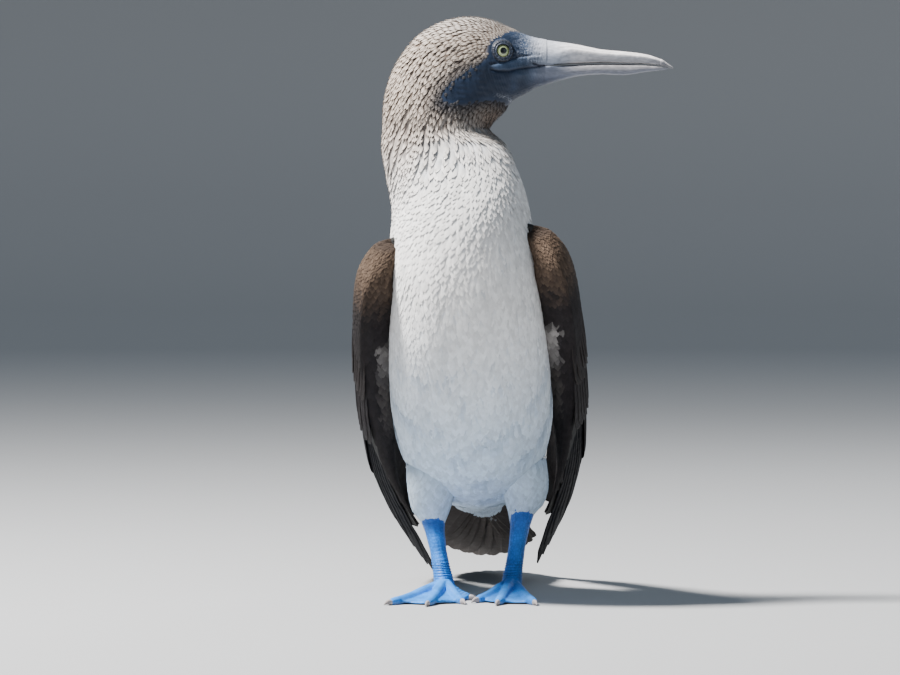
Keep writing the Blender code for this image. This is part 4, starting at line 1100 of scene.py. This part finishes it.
def quill_piece(name, feathers, colours):
    """Joins large feathers into one piece. Each gets its own strip of the OFBake map."""
    n, m = len(QUILL_T), 2 * len(QUILL_S)
    points = np.array([quill_points(*feather) for feather in feathers])
    quads = grid_faces(n, m, True)
    half_m = np.arange(len(QUILL_S) - 1)
    cap = np.stack((half_m, m - 1 - half_m, m - 2 - half_m, half_m + 1), axis=-1)
    out = feathers[0][0]
    quads = np.concatenate((quads, cap[:, ::-1], cap + (n - 1) * m))
    middle = points[0].mean(axis=1, keepdims=True)
    test = points[0].reshape(-1, 3)
    a, b, _, d = (test[quads[(len(QUILL_T) // 2) * m + 6][k]] for k in range(4))
    if np.dot(np.cross(b - a, d - a), a - middle[len(QUILL_T) // 2, 0]) < 0:
        quads = quads[:, ::-1]
    count = len(feathers)
    faces = (quads[None] + (np.arange(count) * n * m)[:, None, None]).reshape(-1, 4)
    t = np.broadcast_to(QUILL_T[:, None], (n, m))
    s = np.broadcast_to(np.concatenate((QUILL_S, QUILL_S[::-1])), (n, m))
    base, fringe, start = (np.array([c[k] for c in colours]) for k in range(3))
    edge = np.maximum(smooth(0.80, 1.0, np.abs(s))[None] * 0.5, smooth(0, 1, (t[None] - start[:, None, None]) / 0.05))
    tint = mix(base[:, None, None, :], fringe[:, None, None, :], edge[..., None])
    tint = tint * rng.uniform(0.88, 1.12, count)[:, None, None, None]
    bake = np.empty((count, n, m, 2))
    cell = 1.0 / count
    under = np.arange(m) >= len(QUILL_S)
    across = (np.where(under, 3.05 + s, 1 + s * 0.98) + 0.02) / 4.2
    bake[..., 0] = (np.arange(count)[:, None, None] + 0.04 + 0.92 * across) * cell
    bake[..., 1] = 0.01 + 0.98 * t
    values = {"run": np.broadcast_to(t, (count, n, m)), "side": np.broadcast_to(s, (count, n, m))}
    piece = build(name, points, faces, QUILL_PLUMAGE, tint, values, bake)
    print(name, count, "large feathers")
    return piece


def in_sheet(along, across):
    return (along - ALONG_FIRST) / (ALONG_LAST - ALONG_FIRST), (across - ACROSS_FIRST) / (ACROSS_LAST - ACROSS_FIRST)


# Tiers of the wing: how many, then for the first and the last feather the root and the tip
# (along, across), half width, lift at root and tip, rise of each over the one below, and colours
DARK = (0.009, 0.009, 0.011)
BROWN = (0.017, 0.013, 0.013)
TIERS = [
    (10, (0.170, 0.15, 0.398, 0.26), (0.160, 0.46, 0.262, 0.82), 0.0100, (-0.0060, -0.0050), 0.00046, POINTED, -0.30, DARK, (0.018, 0.017, 0.019), 0.97),
    (14, (0.140, 0.34, 0.244, 0.48), (0.080, 0.95, 0.176, 1.02), 0.0088, (-0.0022, -0.0006), 0.00010, BLADE, -0.15, (0.012, 0.010, 0.011), (0.036, 0.031, 0.029), 0.975),
    (15, (0.124, 0.06, 0.184, 0.08), (0.074, 0.92, 0.130, 1.00), 0.0080, (-0.0014, 0.0004), 0.00005, BLADE, -0.10, BROWN, (0.058, 0.046, 0.039), 0.970),
    (15, (0.086, 0.06, 0.132, 0.06), (0.036, 0.90, 0.084, 0.98), 0.0080, (-0.0014, 0.0008), 0.00005, BLADE, 0.0, (0.024, 0.018, 0.016), (0.080, 0.061, 0.049), 0.965),
]
ARM_COLUMNS = 76
ARM_GAPS = ((-0.008, 0.03, 0.07, 0.14, 0.32), (0.0021, 0.0030, 0.0046, 0.0068, 0.0074))
# QUILL_BLUE_SHADE is painted shade: it darkens the large wing feathers and turns them bluish.
QUILL_BLUE_SHADE = np.array((0.66, 0.74, 0.86))
WINDOWS = {"left": (0.068, 0.106), "right": (0.074, 0.112)}
for name in LEG_NAMES:
    sheet, arm = sheet_surface(name), arm_surface(name)
    feathers, colours = [], []
    for count, first, last, half, lifts, rise, outline, shaft_at, base, fringe, start in TIERS:
        for i in range(count):
            f = i / (count - 1)
            bend = f**1.2
            root = in_sheet(mix(first[0], last[0], f), mix(first[1], last[1], f))
            tip = in_sheet(mix(first[2], last[2], bend) + rng.normal(0, 0.0012), mix(first[3], last[3], f))
            lift = (lifts[0] + rise * i, lifts[1] + rise * i + rng.normal(0, 0.00015))
            feathers.append((sheet, root, tip, half * rng.uniform(0.96, 1.04), lift, outline, shaft_at))
            colours.append((np.array(base) * QUILL_BLUE_SHADE, np.array(fringe) * QUILL_BLUE_SHADE, start))
    wing = quill_piece("wing_feathers_" + name, feathers, colours)
    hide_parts("wing_" + name)

    n, m = arm.points.shape[:2]
    along_field = np.broadcast_to(ARM_ALONG_ROWS[:, None], (n, m))
    u, v = arm.rows(ARM_COLUMNS, np.interp(along_field, *ARM_GAPS))
    along = np.interp(u, np.linspace(0, 1, n), ARM_ALONG_ROWS)
    across = np.where(v < 0.5, v * 14 / 6, (1 - v) * 14 / 6 - 1 / 6)
    keep = (v > 0.5) | (along < mix(0.100, 0.055, np.clip(across, 0, 1)))
    keep &= along < 0.295 + rng.uniform(-0.01, 0.01, len(u))
    u, v, along, across = (x[keep] for x in (u, v, along, across))
    girth = np.linalg.norm(arm.sample(arm.across, u, v), axis=-1)
    wrist = (1 - smooth(0.004, 0.046, along + rng.normal(0, 0.004, len(u))))[:, None]
    base = mix(np.array((0.010, 0.009, 0.010)), np.array((0.065, 0.044, 0.032)), wrist)
    pale = mix(np.array((0.019, 0.016, 0.017)), np.array((0.135, 0.094, 0.067)), wrist)
    # Painted shade: the right wing's arm feathers are a darker copy of the left's.
    base, pale = ({"left": 1.0, "right": 0.74}[name] * x for x in (base, pale))
    mottle = (rng.random(len(u)) ** 2)[:, None] * 0.75 * wrist
    rim = (1 - smooth(-0.0079, -0.002, along))[:, None] * 0.8
    pale = mix(mix(pale, base, mottle), np.array((0.045, 0.033, 0.027)), rim)
    base = mix(base, np.array((0.040, 0.030, 0.025)), rim)
    nearby = v + rng.normal(0, 0.003, len(u))
    inner = smooth(0.70, 0.76, nearby) * (1 - smooth(0.915, 0.930, nearby))
    start, end = WINDOWS[name]
    place = along + rng.normal(0, 0.0015, len(u)) + 0.12 * np.maximum(0, nearby - 0.84)
    # Painted shade: the pale patch is weaker on the right wing.
    strength = {"left": 0.75, "right": 0.34}[name]
    strength = strength * rng.uniform(0.70, 1.0, len(u)) * mix(1.0, 0.40, smooth(start + 0.008, end, place))
    window = (strength * inner * smooth(start - 0.004, start + 0.004, place) * (1 - smooth(end - 0.008, end + 0.008, place)))[:, None]
    grey = (inner * smooth(end - 0.006, end + 0.006, place) * (1 - smooth(end + 0.03, end + 0.07, place)))[:, None]
    pale = mix(mix(pale, np.array((0.055, 0.048, 0.045)), grey), np.array((0.40, 0.380, 0.365)), window)
    base = mix(base, np.array((0.280, 0.262, 0.250)), window)
    gap = np.interp(along, *ARM_GAPS)
    coat(
        "coat_arm_" + name, BODY_PLUMAGE, arm, u, v, 1, gap * 2.8, np.clip(girth / ARM_COLUMNS * 1.1, 0.0007, 0.0046),
        ROUND_TIP, -0.0006, 0.0001 + rng.uniform(-0.0001, 0.0001, len(u)),
        0.04, rng.normal(0, 0.08, len(u)), base, pale, change=(0.25, 0.95), margin=0.20,
    )
    core_faces = facing_out(arm.points, grid_faces(n, m, True), arm.out[n // 2, m // 2])
    core = build(
        "wing_arm_" + name, arm.place(*np.meshgrid(np.linspace(0, 1, n), np.arange(m) / m, indexing="ij"), np.full((n, m), -0.0015)),
        core_faces, BODY_PLUMAGE, np.full((n, m, 3), 0.03), {"run": np.zeros((n, m)), "side": np.ones((n, m))},
    )

# %% [markdown]
# ## Tail
#
# Twelve stiff feathers, the middle pair longest and on top. They are brown, and paler down the
# middle of the fan.

# %%
TAIL_FEATHERS = 12
TAIL_SLOPE = math.radians(-15.5)
feathers, colours = [], []
for i in sorted(range(TAIL_FEATHERS), key=lambda k: -abs(k - 5.4)):
    from_middle = i - (TAIL_FEATHERS - 1) / 2
    f = abs(from_middle) / ((TAIL_FEATHERS - 1) / 2)
    length = mix(0.200, 0.118, f**1.3)
    yaw = from_middle * math.radians(2.1)
    ahead = np.array((math.sin(yaw), math.cos(yaw) * math.cos(TAIL_SLOPE), math.sin(TAIL_SLOPE)))
    side = np.array((math.cos(yaw), -math.sin(yaw), 0))
    out = unit(np.cross(side, ahead))
    root = np.array((from_middle * 0.0016, 0.158, 0.058)) - out * 0.00075 * abs(from_middle + 0.1)
    steps, ways = np.meshgrid(np.linspace(0, length, 12), np.linspace(-0.02, 0.02, 12), indexing="ij")
    plane = Surface(root + ahead * steps[..., None] + side * ways[..., None], closed=False, outward=out)
    feathers.append((plane, (0.0, 0.5), (1.0, 0.5), 0.0100, (0.0, 0.0004), BLADE, 0.35 * np.sign(-from_middle) * f))
    pale = np.array((0.075, 0.066, 0.060)) * (1 - f) ** 2
    colours.append((np.array((0.026, 0.021, 0.020)) + pale, np.array((0.10, 0.085, 0.075)) + pale, 0.972))
tail = quill_piece("tail_feathers", feathers, colours)
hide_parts("tail")

# %% [markdown]
# ## Bill
#
# A long cone of horn in two halves. The upper one has a rounded ridge, a groove down each side
# and a hooked nail at the tip; the lower one has a faint ridge. Both are greyest where skin
# turns to horn.

# %%
BILL = np.array(
    [
        (0.0480, 0.3646, 0.3478, 0.3357, 0.0120), (0.0665, 0.3619, 0.3487, 0.3406, 0.0096),
        (0.0829, 0.3586, 0.3494, 0.3422, 0.0080), (0.0994, 0.3570, 0.3492, 0.3418, 0.0064),
        (0.1125, 0.3553, 0.3487, 0.3438, 0.0050), (0.1210, 0.3527, 0.3479, 0.3448, 0.0036),
        (0.1262, 0.3500, 0.3470, 0.3455, 0.0020),
    ]
)
BILL_SIDES = 72


def mandible(stations, top, bottom, half_width, round_top):
    """Rings of one half of the bill: column 0 is its top middle."""
    angle = 2 * np.pi * np.arange(BILL_SIDES)[None] / BILL_SIDES
    c, s = np.cos(angle), np.sin(angle)
    round_side = (c > 0) == round_top
    power = np.where(round_side, 0.8, 0.3)
    middle, depth = ((top + bottom) / 2)[:, None], ((top - bottom) / 2)[:, None]
    y = half_width[:, None] * np.sign(s) * np.abs(s) ** 0.85
    z = middle + depth * np.sign(c) * np.abs(c) ** power
    base = smooth(0.066, 0.049, stations)[:, None]
    mouth_side = middle - depth if round_top else middle + depth
    half_oval = mouth_side + np.where(round_side, 2 * depth * np.sign(c) * np.abs(c) ** 0.93, 0.0)
    y = HEAD_Y + mix(y, half_width[:, None] * np.sign(s) * np.abs(s) ** 0.93, base)
    z = mix(z, half_oval, base)
    return Surface(np.stack((stations[:, None] + 0 * y, y, z), axis=-1))


def bill_piece(name, surface, height, tint, node):
    n, m = surface.points.shape[:2]
    uu, vv = np.meshgrid(np.linspace(0, 1, n), np.arange(m) / m, indexing="ij")
    points = surface.place(uu, vv, height(uu, vv, surface.points))
    faces = facing_out(points, grid_faces(n, m, True), surface.out[n // 2, m // 2])
    z = surface.points[..., 2]
    low, high = z.min(axis=1, keepdims=True), z.max(axis=1, keepdims=True)
    up = (z - low) / np.maximum(high - low, 1e-6)
    piece = build(name, points, faces, BILL_HORN, tint(points[..., 0], up[..., None], points))
    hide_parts(node)


def groove(v, at, wide):
    """1 in a groove that runs down both sides of a mandible."""
    return np.exp(-((np.minimum(np.abs(v - at), np.abs(1 - v - at)) / wide) ** 2))


def upper_height(u, v, p):
    fade = smooth(0.02, 0.10, u) * (1 - smooth(0.80, 0.90, u))
    nail = smooth(0.84, 0.87, u) * (1 - smooth(0.90, 1.0, u)) * (np.cos(2 * np.pi * v) > -0.2)
    return (
        -0.00042 * groove(v, 0.155, 0.012) * fade
        + 0.00020 * groove(v, 0.195, 0.020) * fade
        - 0.00022 * groove(v, 0.262, 0.010) * fade
        + 0.00030 * nail
        + 0.00006 * ripple(p, 900, 21)
    )


def upper_tint(x, up, p):
    """Colours by place along the bill, and by height from the mouth (0) to the ridge (1)."""
    x = x[..., None]
    # The ridge is paler: the horn's own lighter tone, with a painted highlight on top.
    colour = mix(np.array((0.330, 0.340, 0.380)), np.array((0.700, 0.680, 0.690)), smooth(0.45, 0.90, up))
    # Painted shadow: a dark band low on the upper mandible, above the mouth.
    colour = mix(colour, np.array((0.150, 0.150, 0.165)), 0.80 * np.exp(-(((up - 0.30) / 0.16) ** 2)) * smooth(0.058, 0.080, x))
    colour = mix(colour, np.array((0.560, 0.530, 0.525)), smooth(0.13, 0.03, up) * smooth(0.052, 0.064, x))
    streaks = np.clip(ripple(p * (0.25, 1.0, 1.0), 1500, 31), 0, 1)[..., None]
    colour = mix(colour, np.array((0.66, 0.64, 0.65)), 0.45 * streaks * smooth(0.085, 0.055, x))
    colour = mix(colour, bill_base_tint(p), smooth(0.072, 0.050, x))
    return mix(colour, np.array((0.200, 0.195, 0.210)), 0.7 * smooth(0.116, 0.128, x))


def lower_height(u, v, p):
    return -0.00025 * groove(v, 0.34, 0.014) * smooth(0.05, 0.2, u) + 0.00006 * ripple(p, 900, 22)


def lower_tint(x, up, p):
    x = x[..., None]
    colour = mix(np.array((0.160, 0.172, 0.215)), np.array((0.360, 0.350, 0.365)), smooth(0.20, 0.75, up))
    # Painted shade: darker just under the mouth line, below the upper mandible's edge.
    colour = mix(colour, np.array((0.090, 0.090, 0.105)), smooth(0.86, 0.98, up) * 0.8)
    return mix(colour, bill_base_tint(p), smooth(0.078, 0.050, x))


t = np.linspace(0, 6, 150)
rows = spline(BILL, t)
under_skin = rows[0] - (rows[1] - rows[0]) * 0.0012 / (rows[1, 0] - rows[0, 0]) + np.array((0, -0.0002, 0, 0.0002, -0.0002))
x, top, mouth, bottom, wide = np.vstack((under_skin, rows)).T
HOOK = np.array([(0.1282, 0.34845, 0.34655, 0.0014), (0.1298, 0.34750, 0.34605, 0.0010), (0.1306, 0.34660, 0.34590, 0.0004)])
upper = mandible(
    np.append(x, HOOK[:, 0]), np.append(top, HOOK[:, 1]), np.append(mouth + 0.0003, HOOK[:, 2]), np.append(wide, HOOK[:, 3]), True
)
bill_piece("bill_horn_upper", upper, upper_height, upper_tint, "bill_upper")
x, bottom, wide = np.append(x, 0.1274), np.append(bottom, 0.3460), np.append(wide * mix(1.0, 0.95, smooth(0.048, 0.060, x)), 0.0008)
lower = mandible(x, np.append(mouth - 0.0003, 0.3466), bottom, wide, False)
bill_piece("bill_horn_lower", lower, lower_height, lower_tint, "bill_lower")
print("bill", upper.points.shape, lower.points.shape)

# %% [markdown]
# ## Eyes
#
# Museum eyes are glass, painted from behind: a small black pupil in a pale yellow-green iris
# with a darker rim.

# %%
EYE_RADIUS = 0.0066
PUPIL = 0.0022
for side, name in ((1, "left"), (-1, "right")):
    axis = unit(np.array((0.28, side, 0.12)))
    first = unit(np.cross(axis, UP))
    second = np.cross(axis, first)
    tilt, angle = np.meshgrid(np.radians(np.linspace(0.3, 100, 90)), 2 * np.pi * np.arange(96) / 96, indexing="ij")
    rim = np.sin(tilt)[..., None] * (np.cos(angle)[..., None] * first + np.sin(angle)[..., None] * second)
    points = EYE + (0, side * EYE_SIDE, 0) + EYE_RADIUS * (axis * np.cos(tilt)[..., None] + rim)
    from_axis = EYE_RADIUS * np.sin(tilt)[..., None]
    fibre = 1 + 0.16 * np.sin(angle * 34 + 2 * np.sin(angle * 7))[..., None]
    iris = mix(np.array((0.40, 0.48, 0.28)), np.array((0.38, 0.44, 0.16)), smooth(0.0022, 0.0038, from_axis)) * fibre
    # Painted shadow: the iris is darker towards its top, under the brow.
    iris = iris * (1 - 0.45 * smooth(-0.001, 0.004, points[..., 2:] - EYE[2]))
    tint = mix(np.full(3, 0.003), iris, smooth(PUPIL - 0.0001, PUPIL + 0.0001, from_axis))
    tint = mix(tint, np.array((0.02, 0.025, 0.03)), smooth(0.0038, 0.0041, from_axis))
    faces = facing_out(points, grid_faces(90, 96, True), axis)
    eye = build("eyeball_" + name, points, faces, EYEBALL, tint)
    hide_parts("eye_" + name)

# %% [markdown]
# ## Claws

# %%
TOE_ENDS = (0.0018, 0.0022)
CLAW_LENGTHS = (0.0080, 0.0095, 0.0080, 0.0060)
for name in LEG_NAMES:
    (fx, fy), _, _, angles = FEET[name]
    points = []
    for angle, length, claw in zip(np.radians(angles), TOE_LENGTHS, CLAW_LENGTHS):
        ahead = np.array((math.sin(angle), -math.cos(angle), 0))
        side = np.array((math.cos(angle), math.sin(angle), 0))
        f, turn = np.meshgrid(np.linspace(0, 1, 26), 2 * np.pi * np.arange(24) / 24, indexing="ij")
        size = np.interp(f, (0, 0.15, 0.5, 0.85, 1), (0.95, 0.88, 0.66, 0.30, 0.08))[..., None] * TOE_ENDS[1]
        height = TOE_ENDS[0] + 0.0006 * np.sin(f * 3.14) - 0.0012 * f**2
        middle = np.array((fx, fy, FLOOR)) + ahead * (length + (claw + 0.0006) * f[..., None] - 0.0006) + UP * height[..., None]
        ring = side * np.cos(turn)[..., None] * 0.8 * size + UP * np.sin(turn)[..., None] * size
        points.append(middle + ring)
    points = np.array(points)
    points[..., 2] = np.maximum(points[..., 2], FLOOR + 0.0001)
    faces = grid_faces(26, 24, True)
    faces = facing_out(points[0], faces, points[0, 13, 12] - points[0, 13].mean(axis=0))
    faces = (faces[None] + (np.arange(4) * 26 * 24)[:, None, None]).reshape(-1, 4)
    f = np.broadcast_to(np.linspace(0, 1, 26)[:, None, None], points.shape[1:3] + (1,))
    tint = np.broadcast_to(mix(np.array((0.40, 0.36, 0.35)), np.array((0.22, 0.20, 0.20)), f), points.shape)
    claws = build("claws_" + name, points, faces, CLAW_HORN, tint)
    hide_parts(*["claw_%s_%d" % (name, toe) for toe in (1, 2, 3, 4)])
print("claws", points.shape)

# %% [markdown]
# ## Floor, light and camera

# %%
camera_target = Vector((-0.0158, 0.0, 0.1694)) + Vector(SHIFT)
DISTANCE = 4.5
azimuth, pitch = math.radians(1.5), math.atan(0.130 / DISTANCE)
back = Vector((math.sin(azimuth) * math.cos(pitch), -math.cos(azimuth) * math.cos(pitch), math.sin(pitch)))
camera_data = bpy.data.cameras.new("camera")
camera_data.lens = DISTANCE * 60.8
camera = bpy.data.objects.new("camera", camera_data)
camera.location = camera_target + back * DISTANCE
camera.rotation_euler = (-back).to_track_quat("-Z", "Y").to_euler()
camera_data.clip_end = 60.0
bpy.context.scene.collection.objects.link(camera)
bpy.context.scene.camera = camera

studio = Paint("studio_paper", Roughness=0.9)
studio.finish((0.36, 0.37, 0.385, 1.0), 0.9, studio.bump(studio.noise(40.0), 0.02, 0.001))
BOWL = ((0.01, 0.0), (2.0, 0.0), (5.4, 0.0), (6.0, 0.04), (6.5, 0.20), (6.8, 0.50), (6.9, 1.10))
SIDES_OF_BOWL = 96
angle = 2 * np.pi * np.arange(SIDES_OF_BOWL) / SIDES_OF_BOWL
bowl = np.array([[(r * math.cos(a), r * math.sin(a), z) for a in angle] for r, z in BOWL])
mesh = bpy.data.meshes.new("floor")
mesh.from_pydata(bowl.reshape(-1, 3), [], facing_out(bowl, grid_faces(len(BOWL), SIDES_OF_BOWL, True), np.array((0, 0, 1))))
mesh.shade_smooth()
mesh.materials.append(studio.material)
floor = bpy.data.objects.new("floor", mesh)
bpy.context.scene.collection.objects.link(floor)


def lamp(name, place, size, power, colour):
    data = bpy.data.lights.new(name, "AREA")
    data.size, data.energy, data.color = size, power, colour
    obj = bpy.data.objects.new(name, data)
    obj.location = place
    obj.rotation_euler = (Vector((0, -0.05, 0.2)) - Vector(place)).to_track_quat("-Z", "Y").to_euler()
    bpy.context.scene.collection.objects.link(obj)


lamp("key", (-1.28, -0.60, 2.35), 0.45, 340, (1.0, 0.965, 0.92))
lamp("fill", (1.8, -1.6, 0.7), 1.6, 3, (0.70, 0.86, 1.0))
lamp("rim", (0.9, 1.6, 1.5), 0.9, 10, (1.0, 1.0, 1.0))
world = bpy.data.worlds.new("studio")
world.use_nodes = True
world.node_tree.nodes["Background"].inputs["Color"].default_value = (0.58, 0.78, 1.0, 1.0)
world.node_tree.nodes["Background"].inputs["Strength"].default_value = 0.24
bpy.context.scene.world = world
